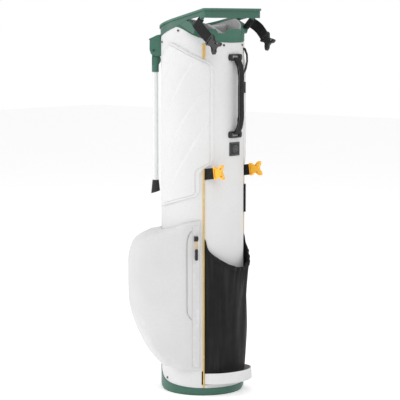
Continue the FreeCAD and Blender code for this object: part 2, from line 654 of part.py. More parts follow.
def make_lift_handle():
    thick, height = dim("band_thick"), dim("lift_height")
    reach = dim("lift_reach")
    outer = Part.Face(Part.Wire(bulge_circle(reach, 0).toShape())).extrude(V(0, 0, height))
    inner = Part.Face(Part.Wire(bulge_circle(reach, 0, -thick).toShape()))
    band = outer.cut(inner.extrude(V(0, 0, height)))
    # The band rises a little away from the seams.
    band.rotate(V(65, 0, 0), V(0, 1, 0), -4.8)
    band.translate(V(0, 0, dim("lift_bottom")))
    band = band.cut(Part.makeCylinder(R + dim("fit_gap"), 200))
    band = band.common(Part.makeBox(200, 300, 200, V(60, -150, 0)))
    band = band.cut(bulge_solid(0.1))
    solids = sorted(band.Solids, key=lambda s: s.Volume)
    sub_part(feature("lift_band", solids[-1]), "base_lift_handle")


def make_piping():
    for side, sign in SIDES:
        x, y = seam_place(sign)
        bead = cylinder(f"{side}_piping", "dims.piping_radius",
                        "dims.piping_top - dims.piping_bottom", x=x, y=y, z=dim("piping_bottom"))
        sub_part(bead, f"{side}_piping")
        patch_on_wall(f"{side}_tab", f"{side}_seam_tab", 5.6, 32.4, 785, 1.4,
                      sign * dim("piping_angle"))


# ---------------------------------------------------------------- buckles and webbing
def buckle_shape(length=33.5):
    """Male half of a side-release buckle in the XZ plane: bar at the origin, prongs along +X."""
    profile = [(0, -14), (5, -14.5), (9, -11), (13, -8.5), (18, -9), (23, -13.5), (29, -16.5),
               (32, -16.5), (33.5, -14.5), (32.5, -8), (28.5, -4), (28, 0), (28.5, 4), (32.5, 8),
               (33.5, 14.5), (32, 16.5), (29, 16.5), (23, 13.5), (18, 9), (13, 8.5), (9, 11),
               (5, 14.5), (0, 14)]
    points = [V(x * length / 33.5, 0, z) for x, z in profile]
    face = Part.Face(Part.makePolygon(points + points[:1]))
    block = face.extrude(V(0, dim("buckle_thick"), 0))
    block.translate(V(0, -dim("buckle_thick") / 2, 0))
    windows = [Part.makeBox(3.2, 20, 20, V(2, -10, -10))]
    for sign in (-1, 1):
        hole = Part.makeBox(8, 20, 3, V(15, -10, -1.5))
        hole.rotate(V(15, 0, 0), V(0, 1, 0), -sign * 26)
        hole.translate(V(4, 0, sign * 7))
        windows.append(hole)
    return block.cut(windows)


# Length of each anchor's webbing from its seam, and of its buckle.
ANCHOR_REACH = {"left": (29.8, 27.0), "right": (22.4, 32.5)}


def make_anchors():
    """Lower strap anchors: a webbing tab at each seam, pointing out past the spine, and a buckle."""
    height, tab_y, thick = dim("anchor_height"), dim("anchor_y"), dim("webbing_thick")
    tilt = FreeCAD.Rotation(V(0, 1, 0), -dim("anchor_tilt"))
    for side, sign in SIDES:
        reach, length = ANCHOR_REACH[side]
        tab = box(f"{side}_anchor_box", reach + 0.2, thick, "dims.webbing_width")
        seam = V(62.5, sign * tab_y, height)
        low_corner = V(0, -thick / 2, -dim("webbing_width") / 2)
        tab.Placement = FreeCAD.Placement(seam + tilt.multVec(low_corner), tilt)
        clear = cylinder(f"{side}_anchor_body", "dims.shell_radius + 0.1", 900)
        sub_part(cut(f"{side}_anchor", tab, clear), f"{side}_anchor_webbing")
        buckle = feature(f"{side}_anchor_buckle", buckle_shape(length))
        buckle.Placement = FreeCAD.Placement(seam + tilt.multVec(V(reach + 0.4, 0, 0)), tilt)
        sub_part(buckle, f"{side}_anchor_buckle")


def strap_frame(sign):
    """Placement of a cuff strap: its X runs down the webbing, its Z along the strut."""
    foot, head = strut_ends(sign)
    along = (head - foot).normalize()
    side = V(0, 1, 0)
    side = (side - along * side.dot(along)).normalize()
    down = side.cross(along)
    matrix = FreeCAD.Matrix(down.x, side.x, along.x, 0, down.y, side.y, along.y, 0,
                            down.z, side.z, along.z, 0, 0, 0, 0, 1)
    middle = foot + (head - foot) * 0.46
    return FreeCAD.Placement(middle, FreeCAD.Rotation(matrix))


def strap_path(sign, leave, straight, bend, droop, tail):
    """Centre line of a strap's tail in its own X and Y: it leaves the loop at an angle (degrees)
    round the strut, runs straight, bends round by a radius to its droop, then runs on."""
    radius = dim("strut_radius") + dim("loop_gap") + dim("webbing_thick") / 2
    heading = math.radians(leave - 90)
    x, y = radius * math.cos(math.radians(leave)), radius * math.sin(math.radians(leave))
    path = [(x, y, heading)]
    x, y = x + straight * math.cos(heading), y + straight * math.sin(heading)
    path.append((x, y, heading))
    steps = 14
    turn = (math.radians(droop) - heading) / steps
    for _ in range(steps if abs(turn) > 1e-6 else 0):
        step = 2 * bend * math.sin(abs(turn) / 2)
        x, y = x + step * math.cos(heading + turn / 2), y + step * math.sin(heading + turn / 2)
        heading += turn
        path.append((x, y, heading))
    path.append((x + tail * math.cos(heading), y + tail * math.sin(heading), heading))
    return [(px, sign * py, sign * angle) for px, py, angle in path]


# How each upper strap hangs: angle it leaves at, straight run, bend radius, droop, tail.
STRAP_HANG = {"left": (90, 0, 20, 0, 50), "right": (160, 6, 24, -12, 18)}


def make_cuff_straps():
    """Upper strap webbing looped round the cuff's struts, each with a buckle on its tail."""
    width, thick = dim("webbing_width"), dim("webbing_thick")
    inner = dim("strut_radius") + dim("loop_gap")
    for side, sign in SIDES:
        frame = strap_frame(sign)
        path = strap_path(sign, *STRAP_HANG[side])
        near, far = [], []
        for x, y, angle in path:
            across = V(-math.sin(angle), math.cos(angle), 0) * thick / 2
            near.append(V(x, y, -width / 2) + across)
            far.append(V(x, y, -width / 2) - across)
        ring = near + far[::-1]
        tail = Part.Face(Part.makePolygon(ring + ring[:1])).extrude(V(0, 0, width))
        loop = Part.makeCylinder(inner + thick, width, V(0, 0, -width / 2))
        hole = Part.makeCylinder(inner, width + 2, V(0, 0, -width / 2 - 1))
        shape = loop.fuse(tail).cut(hole).removeSplitter()
        sub_part(feature(f"{side}_cuff_strap", shape, frame), f"{side}_cuff_strap")
        buckle = feature(f"{side}_cuff_buckle", buckle_shape())
        end_x, end_y, end_angle = path[-1]
        hang = FreeCAD.Placement(V(end_x, end_y, 0) + V(math.cos(end_angle), math.sin(end_angle), 0)
                                 * 0.3, FreeCAD.Rotation(Z_AXIS, math.degrees(end_angle)))
        buckle.Placement = frame.multiply(hang)
        sub_part(buckle, f"{side}_cuff_buckle")


# ---------------------------------------------------------------- trunk handle, patch, small trim
def make_trunk_handle():
    low, high, thick = dim("handle_low"), dim("handle_high"), dim("handle_thick")
    width = dim("handle_width")
    outer = [(98, high + 2), (103, high - 3), (110, high - 14), (115, high - 34), (115.5, high - 89),
             (115, low + 34), (110, low + 14), (103, low + 3), (98, low - 2)]
    curve = Part.BSplineCurve()
    curve.interpolate([V(x, 0, z) for x, z in outer])
    inside = Part.BSplineCurve()
    inside.interpolate([V(x - thick * (0.8 if abs(z - (low + high) / 2) > 70 else 1), 0,
                          z + (3 if z < (low + high) / 2 else -3)) for x, z in outer[1:-1]])
    first, last = outer[0], outer[-1]
    wire = Part.Wire([curve.toShape(), Part.makeLine(V(last[0], 0, last[1]), inside.EndPoint),
                      inside.toShape(),
                      Part.makeLine(inside.StartPoint, V(first[0], 0, first[1]))])
    grip = Part.Face(wire).extrude(V(0, width, 0))
    grip.translate(V(0, -width / 2, 0))
    holders = []
    for name, z in (("top", high), ("bottom", low)):
        block = Part.makeBox(8, 42, 15, V(91.4, -21, z - 7.5))
        corners = [edge for edge in block.Edges if abs(edge.tangentAt(0).x) > 0.9]
        plate = feature(f"handle_{name}_plate", block.makeFillet(5, corners))
        clear = cylinder(f"handle_{name}_body", "dims.shell_radius + dims.fit_gap", 900)
        window = box(f"handle_{name}_window", 14, 25, 8, x=91, y=-12.5, z=z - 4)
        holder = sub_part(cut(f"handle_{name}_bracket", plate, clear, window),
                          f"handle_{name}_bracket")
        holders.append(holder)
    doc.recompute()
    grip = grip.cut(Part.makeCylinder(R + 1.5, 900))
    for holder in holders:
        grip = grip.cut(holder.Shape)
    solids = sorted(grip.Solids, key=lambda s: s.Volume)
    sub_part(feature("trunk_handle", solids[-1]), "trunk_handle_grip")
    heads = []
    for z in (low, high):
        for y in (-17, 17):
            heads.append(Part.makeCylinder(1.9, 1.2, V(99.4, y, z), V(1, 0, 0)))
    sub_part(feature("handle_screws", Part.makeCompound(heads)), "handle_screws")


def patch_on_wall(name, label, width, height, middle, rise, angle=0.0):
    """A thin patch that follows the tube's wall."""
    start = R + 0.2
    block = Part.makeBox(60, width, height, V(70, -width / 2, middle - height / 2))
    block = block.cut(Part.makeCylinder(start, 900))
    block = block.common(Part.makeCylinder(start + rise, 900))
    turn = FreeCAD.Placement(V(), FreeCAD.Rotation(Z_AXIS, angle))
    return sub_part(feature(name, block, turn), label)


def make_trim():
    patch_on_wall("label_patch", "label_patch", dim("patch_width"), dim("patch_height"),
                  dim("patch_height_mid"), 1.8)
    patch_on_wall("glove_patch", "glove_patch", 22, 63, 445.5, 5.0, 39.5)
    patch_on_wall("flank_zip_pull", "flank_zip_pull", 7, 25, 701, 4.6, 31)
    loop_angle = 26.0
    arch = [(94, 792), (99, 790), (104, 776), (104.5, 760), (101, 742), (96, 732), (94, 731),
            (94, 735), (99, 745), (102.3, 760), (101.8, 775), (97.4, 786), (94, 787.5)]
    face = Part.Face(Part.makePolygon([V(x, 0, z) for x, z in arch + arch[:1]]))
    loop = face.extrude(V(0, 11, 0)).cut(Part.makeCylinder(R + 0.2, 900))
    solids = sorted(loop.Solids, key=lambda s: s.Volume)
    turn = FreeCAD.Placement(V(), FreeCAD.Rotation(Z_AXIS, loop_angle))
    sub_part(feature("towel_loop", solids[-1], turn), "towel_loop")


def rivet_shape(angle, z):
    """A domed rivet head on the tube's wall at an angle from the spine."""
    turn = math.radians(angle)
    out = V(math.cos(turn), math.sin(turn), 0)
    spot = out * (R + 0.15) + V(0, 0, z)
    head = Part.makeCylinder(dim("rivet_radius"), 1.6, spot, out)
    return head.cut(Part.makeCylinder(R + 0.1, 900))


def make_rivets():
    cuff = [(sign * angle, z) for sign in (-1, 1) for angle, z in ((20, 798), (85, 830.5),
                                                                 (124, 804.5))]
    base = [(sign * angle, z) for sign in (-1, 1) for angle, z in ((108, 33), (165, 78))]
    for label, places in (("cuff_rivets", cuff), ("base_rivets", base)):
        heads = [rivet_shape(angle, z) for angle, z in places]
        sub_part(feature(label, Part.makeCompound(heads)), label)


def check_and_export():
    doc.recompute()
    failed = [o.Name for o in doc.Objects if "Invalid" in o.State or "Error" in o.State]
    if failed:
        raise RuntimeError(f"these objects failed: {failed}")
    labels = [item.Label for item in sub_parts]
    if len(set(labels)) != len(labels):
        raise RuntimeError("two sub-parts share a label")
    for item in sub_parts:
        shape = item.Shape
        if shape.isNull() or not shape.isValid() or not shape.Solids:
            raise RuntimeError(f"{item.Label} has no valid solid")
    os.makedirs("parts", exist_ok=True)
    for old in os.listdir("parts"):
        os.remove(os.path.join("parts", old))
    for item in sub_parts:
        item.Shape.exportStep(f"parts/{item.Label}.step")
        print(f"{item.Label}: {len(item.Shape.Solids)} solid(s), {item.Shape.Volume / 1000:.2f} cm3")


make_base()
make_pull_rod()
make_body(make_cuff())
make_liner_and_dividers()
make_legs()
make_side_panels()
ball_pocket = make_ball_pocket()
make_zip()
make_pouch(ball_pocket)
make_lift_handle()
make_piping()
make_anchors()
make_cuff_straps()
make_trunk_handle()
make_trim()
make_rivets()
check_and_export()
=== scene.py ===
"""Looks of a slim golf stand bag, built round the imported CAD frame. Metres, +Z up, -Y the pocket flank."""

import json
import math

import bmesh
import bpy
import numpy as np
from mathutils import Matrix, Vector
from mathutils.bvhtree import BVHTree


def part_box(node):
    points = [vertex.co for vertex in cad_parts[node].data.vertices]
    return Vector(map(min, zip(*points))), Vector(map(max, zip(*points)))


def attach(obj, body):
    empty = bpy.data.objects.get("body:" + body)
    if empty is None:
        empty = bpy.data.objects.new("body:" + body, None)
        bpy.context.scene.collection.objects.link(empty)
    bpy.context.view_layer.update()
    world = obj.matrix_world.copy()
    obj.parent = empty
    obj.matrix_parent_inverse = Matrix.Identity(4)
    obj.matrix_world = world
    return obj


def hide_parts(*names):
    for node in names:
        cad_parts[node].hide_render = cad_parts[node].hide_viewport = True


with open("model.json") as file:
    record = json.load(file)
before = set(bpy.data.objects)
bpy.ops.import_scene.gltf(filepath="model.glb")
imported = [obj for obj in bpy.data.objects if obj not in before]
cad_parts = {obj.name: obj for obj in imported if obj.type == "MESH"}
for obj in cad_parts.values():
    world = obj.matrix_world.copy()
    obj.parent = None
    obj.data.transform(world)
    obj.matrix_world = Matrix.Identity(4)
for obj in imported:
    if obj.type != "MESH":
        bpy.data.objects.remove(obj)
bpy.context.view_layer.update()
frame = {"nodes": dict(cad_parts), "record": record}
NODES = frame["nodes"]
SHELL = 0.095


# ---------------------------------------------------------------- camera, lights, floor
def aim(obj, target):
    obj.rotation_mode = "QUATERNION"
    obj.rotation_quaternion = (Vector(target) - obj.location).to_track_quat("-Z", "Y")


def make_camera():
    """Looks across the pocket flank and the spine from 40 degrees round and a little above the middle."""
    azimuth, elevation, distance = math.radians(40), math.radians(6.5), 3.6
    right = Vector((math.cos(azimuth), math.sin(azimuth), 0))
    target = Vector((0, 0, 0.440)) - 0.0058 * right
    level = math.cos(elevation)
    back = Vector((math.sin(azimuth) * level, -math.cos(azimuth) * level, math.sin(elevation)))
    camera = bpy.data.objects.new("camera", bpy.data.cameras.new("camera"))
    bpy.context.scene.collection.objects.link(camera)
    camera.data.sensor_width = 36
    camera.data.lens = 36 * distance / 0.9264
    camera.location = target + back * distance
    aim(camera, target)
    bpy.context.scene.camera = camera


def area_light(name, place, size, power, target=(0, 0, 0.45)):
    lamp = bpy.data.lights.new(name, "AREA")
    lamp.shape = "RECTANGLE"
    lamp.size, lamp.size_y = size
    lamp.energy = power
    obj = bpy.data.objects.new(name, lamp)
    obj.location = place
    bpy.context.scene.collection.objects.link(obj)
    aim(obj, target)


def make_stage():
    area_light("key", (2.1, -1.6, 2.3), (1.6, 1.6), KEY_POWER)
    area_light("fill", (-2.3, -1.9, 1.4), (2.0, 2.0), FILL_POWER)
    area_light("top", (0.2, 0.1, 3.0), (2.0, 2.0), TOP_POWER, (0, 0, 0))
    world = bpy.data.worlds.new("studio")
    world.use_nodes = True
    tree = world.node_tree
    seen = tree.nodes.new("ShaderNodeLightPath").outputs["Is Camera Ray"]
    strength = tree.nodes.new("ShaderNodeMapRange")
    strength.inputs["To Min"].default_value = WORLD_POWER
    tree.links.new(seen, strength.inputs["Value"])
    tree.links.new(strength.outputs[0], tree.nodes["Background"].inputs["Strength"])
    tree.nodes["Background"].inputs["Color"].default_value = (1, 1, 1, 1)
    bpy.context.scene.world = world
    bpy.context.scene.view_settings.view_transform = "Standard"
    mesh = bpy.data.meshes.new("floor")
    mesh.from_pydata([(-9, -9, 0), (9, -9, 0), (9, 9, 0), (-9, 9, 0)], [], [(0, 1, 2, 3)])
    floor = bpy.data.objects.new("floor", mesh)
    bpy.context.scene.collection.objects.link(floor)
    paint = Paint("floor_paper", (0.93, 0.93, 0.93), 0.8)
    paint.bump(paint.noise(400), 0.0002, 0.1)
    paint.shader.inputs["Emission Color"].default_value = (1, 1, 1, 1)
    paint.shader.inputs["Emission Strength"].default_value = 0.36
    mesh.materials.append(paint.material)


KEY_POWER, FILL_POWER, TOP_POWER, WORLD_POWER = 21, 34, 15, 0.64


# ---------------------------------------------------------------- materials
class Paint:
    """A Principled material with a few shorthands for wiring procedural detail into it."""

    def __init__(self, name, color, roughness=0.5, metallic=0.0, specular=0.5, sheen=0.0, coat=0.0):
        self.material = bpy.data.materials.new(name)
        self.material.use_nodes = True
        self.tree = self.material.node_tree
        self.shader = self.tree.nodes["Principled BSDF"]
        self.color = color
        for key, value in (("Base Color", (*color, 1)), ("Roughness", roughness), ("Metallic", metallic),
                           ("Specular IOR Level", specular), ("Sheen Weight", sheen), ("Coat Weight", coat),
                           ("Sheen Roughness", 0.45), ("Coat Roughness", 0.2)):
            self.shader.inputs[key].default_value = value
        self.coords = self.tree.nodes.new("ShaderNodeTexCoord").outputs["Object"]

    def link(self, value, socket):
        if isinstance(value, (int, float)):
            socket.default_value = value
        elif isinstance(value, tuple):
            socket.default_value = value if len(value) != 3 or socket.type == "VECTOR" else (*value, 1)
        else:
            self.tree.links.new(value, socket)

    def node(self, kind, inputs=(), **settings):
        node = self.tree.nodes.new(kind)
        for key, value in settings.items():
            setattr(node, key, value)
        for key, value in dict(inputs).items():
            self.link(value, node.inputs[key])
        return node

    def maths(self, operation, *values):
        return self.node("ShaderNodeMath", dict(enumerate(values)), operation=operation).outputs[0]

    def noise(self, scale, detail=3.0, stretch=(1, 1, 1), vector=None):
        mapped = self.node("ShaderNodeMapping", {"Vector": vector or self.coords, "Scale": stretch}).outputs[0]
        return self.node("ShaderNodeTexNoise", {"Vector": mapped, "Scale": scale, "Detail": detail}).outputs[0]

    def cells(self, scale, feature="F1", vector=None):
        inputs = {"Vector": vector or self.coords, "Scale": scale}
        return self.node("ShaderNodeTexVoronoi", inputs, feature=feature).outputs["Distance"]

    def spread(self, value, low, high, to_low=0.0, to_high=1.0):
        keys = ("Value", "From Min", "From Max", "To Min", "To Max")
        return self.node("ShaderNodeMapRange", dict(zip(keys, (value, low, high, to_low, to_high)))).outputs[0]

    def mix(self, factor, first, second):
        node = self.node("ShaderNodeMix", data_type="RGBA")
        for value, key in ((factor, 0), (first, 6), (second, 7)):
            self.link(value, node.inputs[key])
        return node.outputs[2]

    def round_the_bag(self):
        """Distance round the tube, and height, both in metres, for a weave that follows the wall."""
        split = self.node("ShaderNodeSeparateXYZ", {"Vector": self.coords})
        turn = self.maths("ARCTAN2", split.outputs[1], split.outputs[0])
        return self.maths("MULTIPLY", turn, SHELL), split.outputs[2]

    def weave(self, across, up, pitch):
        """0 to 1: a plain weave of two crossing ribs."""
        ribs = [self.maths("SINE", self.maths("MULTIPLY", value, 2 * math.pi / pitch)) for value in (across, up)]
        return self.spread(self.maths("MULTIPLY", *ribs), -1, 1)

    def bump(self, height, distance, strength=1.0):
        previous = self.shader.inputs["Normal"].links
        inputs = {"Height": height, "Distance": distance, "Strength": strength}
        if previous:
            inputs["Normal"] = previous[0].from_socket
        self.link(self.node("ShaderNodeBump", inputs).outputs[0], self.shader.inputs["Normal"])
        return self

    def tint(self, factor, other):
        """Mixes the colour towards another, by a factor."""
        previous = self.shader.inputs["Base Color"].links
        base = previous[0].from_socket if previous else self.color
        self.link(self.mix(factor, base, other), self.shader.inputs["Base Color"])
        return self

    def gloss(self, factor, low, high):
        self.link(self.spread(factor, 0, 1, low, high), self.shader.inputs["Roughness"])
        return self

    def worn_edges(self, other, amount=0.5, low=0.52, high=0.60):
        edge = self.node("ShaderNodeNewGeometry").outputs["Pointiness"]
        return self.tint(self.maths("MULTIPLY", self.spread(edge, low, high), amount), other)


def shade(color, factor):
    return tuple(min(1.0, channel * factor) for channel in color)


def moulded(name, color, roughness=0.42, grain=1400, depth=0.00006, wear=1.35, coat=0.0):
    """Injection-moulded plastic: fine spark-eroded grain, faint flow marks, lighter rubbed edges, dust."""
    paint = Paint(name, color, roughness, specular=0.45, coat=coat)
    paint.tint(paint.spread(paint.noise(9, 4), 0.35, 0.75, 0.0, 0.5), shade(color, 0.88))
    paint.tint(paint.spread(paint.noise(60, 5), 0.55, 0.85, 0.0, 0.35), shade(color, 1.12))
    paint.worn_edges(shade(color, wear), 0.6)
    paint.gloss(paint.noise(35, 4), roughness - 0.07, roughness + 0.1)
    paint.bump(paint.noise(grain, 2), depth, 0.5)
    return paint.material


def woven(name, color, pitch=0.0011, depth=0.00012, sheen=0.25, roughness=0.82, mottle=0.9, puckers=0.0006):
    """Plain-woven polyester that follows the tube, a little uneven in colour and softly rumpled."""
    paint = Paint(name, color, roughness, specular=0.25, sheen=sheen)
    across, up = paint.round_the_bag()
    threads = paint.weave(across, up, pitch)
    paint.tint(paint.spread(paint.noise(7, 5), 0.35, 0.75, 0.0, 0.7), shade(color, mottle))
    paint.tint(paint.maths("MULTIPLY", threads, 0.28), shade(color, 0.72))
    paint.tint(paint.spread(paint.noise(330, 3), 0.45, 0.70, 0.0, 0.5), shade(color, 0.86))
    paint.gloss(paint.noise(40, 3), roughness - 0.08, roughness + 0.06)
    paint.bump(threads, depth, 0.7)
    paint.bump(paint.noise(30, 4), puckers, 0.5)
    return paint.material


def webbing(name, color, along="z", pitch=0.0016, sheen=0.08):
    """Woven nylon tape: bold ribs across its length and a fine herringbone along it."""
    paint = Paint(name, color, 0.7, specular=0.2, sheen=sheen)
    split = paint.node("ShaderNodeSeparateXYZ", {"Vector": paint.coords})
    run = split.outputs["xyz".index(along)]
    side = split.outputs["yzx".index(along)]
    slant = paint.maths("ABSOLUTE", paint.maths("SINE", paint.maths("MULTIPLY", side, math.pi / 0.0042)))
    slanted = paint.maths("ADD", run, paint.maths("MULTIPLY", slant, 0.0018))
    ribs = paint.maths("SINE", paint.maths("MULTIPLY", slanted, 2 * math.pi / pitch))
    # Painted shade: the tape is darkened towards half its colour in the hollows between its ribs.
    paint.tint(paint.spread(ribs, -1, 1, 0.45, 0.0), shade(color, 0.5))
    paint.tint(paint.spread(paint.noise(90, 4), 0.5, 0.8, 0.0, 0.5), shade(color, 1.5))
    paint.gloss(paint.noise(60, 3), 0.6, 0.82)
    paint.bump(ribs, 0.00022, 0.8)
    return paint.material


def padding(name, color):
    """Brushed tricot over foam: a short nap, soft dimples and small shade changes."""
    paint = Paint(name, color, 0.92, specular=0.2, sheen=0.55)
    paint.tint(paint.spread(paint.noise(22, 4), 0.35, 0.75, 0.0, 0.8), shade(color, 0.84))
    # Painted shade: the tricot is darkened at the bottom of each small dimple that the cell bump below presses in.
    paint.tint(paint.spread(paint.cells(900), 0.0, 0.7, 0.45, 0.0), shade(color, 0.66))
    paint.gloss(paint.noise(70, 3), 0.84, 0.97)
    paint.bump(paint.cells(900), 0.00035, 0.6)
    paint.bump(paint.noise(45, 3), 0.0009, 0.45)
    return paint.material


def knit_mesh(name, color):
    """Stretch mesh: small dark holes in a diamond net over the lining."""
    paint = Paint(name, color, 0.66, specular=0.2, sheen=0.04)
    across, up = paint.round_the_bag()
    net = paint.weave(paint.maths("ADD", across, up), paint.maths("SUBTRACT", across, up), 0.0042)
    holes = paint.spread(net, 0.55, 0.8)
    paint.tint(paint.maths("MULTIPLY", holes, 0.85), shade(color, 0.3))
    paint.tint(paint.spread(paint.noise(26, 4), 0.45, 0.8, 0.0, 0.6), shade(color, 1.7))
    # The long vertical pleats: they are bumped, and lightened with a painted highlight along their crests, where they
    # catch the light.
    pleats_and_sheen = paint.noise(75, 3, (1, 1, 0.07))
    paint.tint(paint.spread(pleats_and_sheen, 0.48, 0.72, 0.0, 0.8), shade(color, 2.6))
    paint.gloss(paint.noise(50, 3), 0.6, 0.85)
    paint.bump(pleats_and_sheen, 0.004, 0.55)
    paint.bump(paint.maths("SUBTRACT", 1.0, holes), 0.0004, 0.8)
    return paint.material


def metal(name, color, roughness=0.35, direction=(1, 1, 0.04)):
    """Drawn or turned metal: long brush lines, smudges and brighter worn edges."""
    paint = Paint(name, color, roughness, metallic=1.0)
    lines = paint.noise(900, 3, direction)
    paint.tint(paint.spread(lines, 0.4, 0.7, 0.0, 0.5), shade(color, 0.7))
    paint.worn_edges(shade(color, 1.8), 0.7)
    paint.gloss(paint.noise(40, 4), roughness - 0.1, roughness + 0.15)
    paint.bump(lines, 0.00003, 0.5)
    return paint.material


def lacquer(name, color):
    """Enamelled aluminium tube: glossy, with faint orange peel and scuffs along its length."""
    paint = Paint(name, color, 0.3, specular=0.5, coat=0.35)
    scuffs = paint.noise(240, 5, (1, 1, 0.06))
    paint.tint(paint.spread(scuffs, 0.62, 0.8, 0.0, 0.5), shade(color, 0.72))
    paint.tint(paint.spread(paint.noise(12, 3), 0.4, 0.8, 0.0, 0.4), shade(color, 0.92))
    paint.gloss(paint.noise(120, 4), 0.2, 0.45)
    paint.bump(paint.noise(700, 2), 0.00003, 0.4)
    return paint.material


# ---------------------------------------------------------------- building pieces from the frame
def new_piece(name, mesh, material, body="bag", stands_for=()):
    obj = bpy.data.objects.new(name, mesh)
    bpy.context.scene.collection.objects.link(obj)
    mesh.materials.clear()
    mesh.materials.append(material)
    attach(obj, body)
    if stands_for:
        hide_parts(*stands_for)
    return obj


def smooth(mesh, angle=38):
    """Smooth shading, with edges sharper than the angle kept crisp."""
    mesh.shade_smooth()
    bm = bmesh.new()
    bm.from_mesh(mesh)
    for edge in bm.edges:
        edge.smooth = len(edge.link_faces) == 2 and edge.calc_face_angle() < math.radians(angle)
    bm.to_mesh(mesh)
    bm.free()


def points_of(mesh):
    return np.array([v.co for v in mesh.vertices], float).reshape(-1, 3)


def set_points(mesh, points):
    mesh.vertices.foreach_set("co", np.asarray(points, np.float32).ravel())
    mesh.update()


def gridded(node, name, rise, turn=None, plane=None):
    """A copy of a frame mesh cut into a fine grid: level cuts every rise, and cuts through the axis every turn."""
    bm = bmesh.new()
    bm.from_mesh(NODES[node].data)
    bmesh.ops.remove_doubles(bm, verts=bm.verts, dist=1e-6)
    bmesh.ops.dissolve_limit(bm, angle_limit=0.004, verts=bm.verts, edges=bm.edges)
    low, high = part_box(node)
    cuts = [((0, 0, z), (0, 0, 1)) for z in np.arange(low.z + rise / 2, high.z, rise)]
    if turn:
        cuts += [((0, 0, 0), (-math.sin(a), math.cos(a), 0)) for a in np.arange(0, math.pi, turn)]
    if plane:
        normal, step = Vector(plane[0]), plane[1]
        reach = [v.co.dot(normal) for v in bm.verts]
        cuts += [(normal * d, normal) for d in np.arange(min(reach) + step / 2, max(reach), step)]
    for place, normal in cuts:
        bmesh.ops.bisect_plane(bm, geom=[*bm.verts, *bm.edges, *bm.faces], dist=1e-7, plane_co=place, plane_no=normal)
    mesh = bpy.data.meshes.new(name)
    bm.to_mesh(mesh)
    bm.free()
    return mesh


def outer_skin(node, name):
    """A copy of a hollow frame mesh without its closed inner cavity."""
    bm = bmesh.new()
    bm.from_mesh(NODES[node].data)
    bmesh.ops.remove_doubles(bm, verts=bm.verts, dist=1e-6)
    left, shells = set(bm.verts), []
    while left:
        stack, shell = [left.pop()], []
        while stack:
            vert = stack.pop()
            shell.append(vert)
            for edge in vert.link_edges:
                other = edge.other_vert(vert)
                if other in left:
                    left.discard(other)
                    stack.append(other)
        shells.append(shell)
    shells.sort(key=lambda s: max(v.co.y for v in s) - min(v.co.y for v in s))
    bmesh.ops.delete(bm, geom=[v for s in shells[:-1] for v in s], context="VERTS")
    mesh = bpy.data.meshes.new(name)
    bm.to_mesh(mesh)
    bm.free()
    return mesh


def remeshed(mesh, voxel):
    obj = bpy.data.objects.new("making", mesh)
    bpy.context.scene.collection.objects.link(obj)
    modifier = obj.modifiers.new("voxels", "REMESH")
    modifier.mode, modifier.voxel_size = "VOXEL", voxel
    out = baked(obj)
    bpy.data.objects.remove(obj)
    return out


def baked(obj):
    return bpy.data.meshes.new_from_object(obj.evaluated_get(bpy.context.evaluated_depsgraph_get()))


def neighbours(mesh):
    edges = np.array([e.vertices for e in mesh.edges], int)
    count = np.bincount(edges.ravel(), minlength=len(mesh.vertices)).astype(float)
    return edges, np.maximum(count, 1)


def relaxed(mesh, points, rounds, keep=0.5):
    """Laplacian smoothing: evens the points out over the mesh's edges."""
    edges, count = neighbours(mesh)
    for _ in range(rounds):
        total = np.zeros_like(points)
        np.add.at(total, edges[:, 0], points[edges[:, 1]])
        np.add.at(total, edges[:, 1], points[edges[:, 0]])
        points = keep * points + (1 - keep) * total / count[:, None]
    return points


def stuffed(mesh, voxel, cap, pressure=4.0, frames=20, shrink=0.0, hold=None):
    """Swells a closed mesh with a cloth simulation; no point moves further than cap, nor at all where hold is 1."""
    mesh = remeshed(mesh, voxel)
    start = points_of(mesh)
    normals = np.array([v.normal for v in mesh.vertices])
    free = np.ones(len(start)) if hold is None else 1 - hold(start)
    start -= normals * shrink * free[:, None]
    set_points(mesh, start)
    moved = start
    obj = bpy.data.objects.new("stuffing", mesh.copy())
    bpy.context.scene.collection.objects.link(obj)
    cloth = obj.modifiers.new("cloth", "CLOTH").settings
    cloth.use_pressure, cloth.uniform_pressure_force = True, pressure
    cloth.effector_weights.gravity = 0
    cloth.quality, cloth.tension_stiffness, cloth.bending_stiffness = 5, 12, 0.6
    for number in range(1, frames + 1):
        bpy.context.scene.frame_set(number)
    moved = points_of(baked(obj))
    bpy.data.objects.remove(obj)
    bpy.context.scene.frame_set(1)
    shift = np.nan_to_num(moved - start)
    length = np.linalg.norm(shift, axis=1)
    shift *= (np.minimum(length, cap) / np.maximum(length, 1e-9) * free)[:, None]
    set_points(mesh, relaxed(mesh, start + shift, 2))
    return mesh


def subdivided(mesh, levels=1):
    obj = bpy.data.objects.new("making", mesh)
    bpy.context.scene.collection.objects.link(obj)
    modifier = obj.modifiers.new("finer", "SUBSURF")
    modifier.levels = modifier.render_levels = levels
    out = baked(obj)
    bpy.data.objects.remove(obj)
    return out


def ramp(value, low, high):
    part = np.clip((value - low) / (high - low), 0, 1)
    return part * part * (3 - 2 * part)


def rumple(points, scale, seed):
    """Smooth pseudo-random values from -1 to 1: a sum of waves in random directions."""
    waves = np.random.default_rng(seed)
    total = np.zeros(len(points))
    for _ in range(9):
        direction = waves.normal(size=3)
        direction *= scale * waves.uniform(0.5, 1.6) / np.linalg.norm(direction)
        total += np.sin(points @ direction + waves.uniform(0, 6.28))
    return total / 5


def near_line(points, line, width):
    """1 on a broken line of points, falling to 0 at width from it."""
    best = np.full(len(points), 1e9)
    for a, b in zip(line[:-1], line[1:]):
        a, b = np.array(a, float), np.array(b, float)
        part = np.clip((points - a) @ (b - a) / max(float((b - a) @ (b - a)), 1e-12), 0, 1)
        best = np.minimum(best, np.linalg.norm(points - a - part[:, None] * (b - a), axis=1))
    return 1 - ramp(best, 0, width)


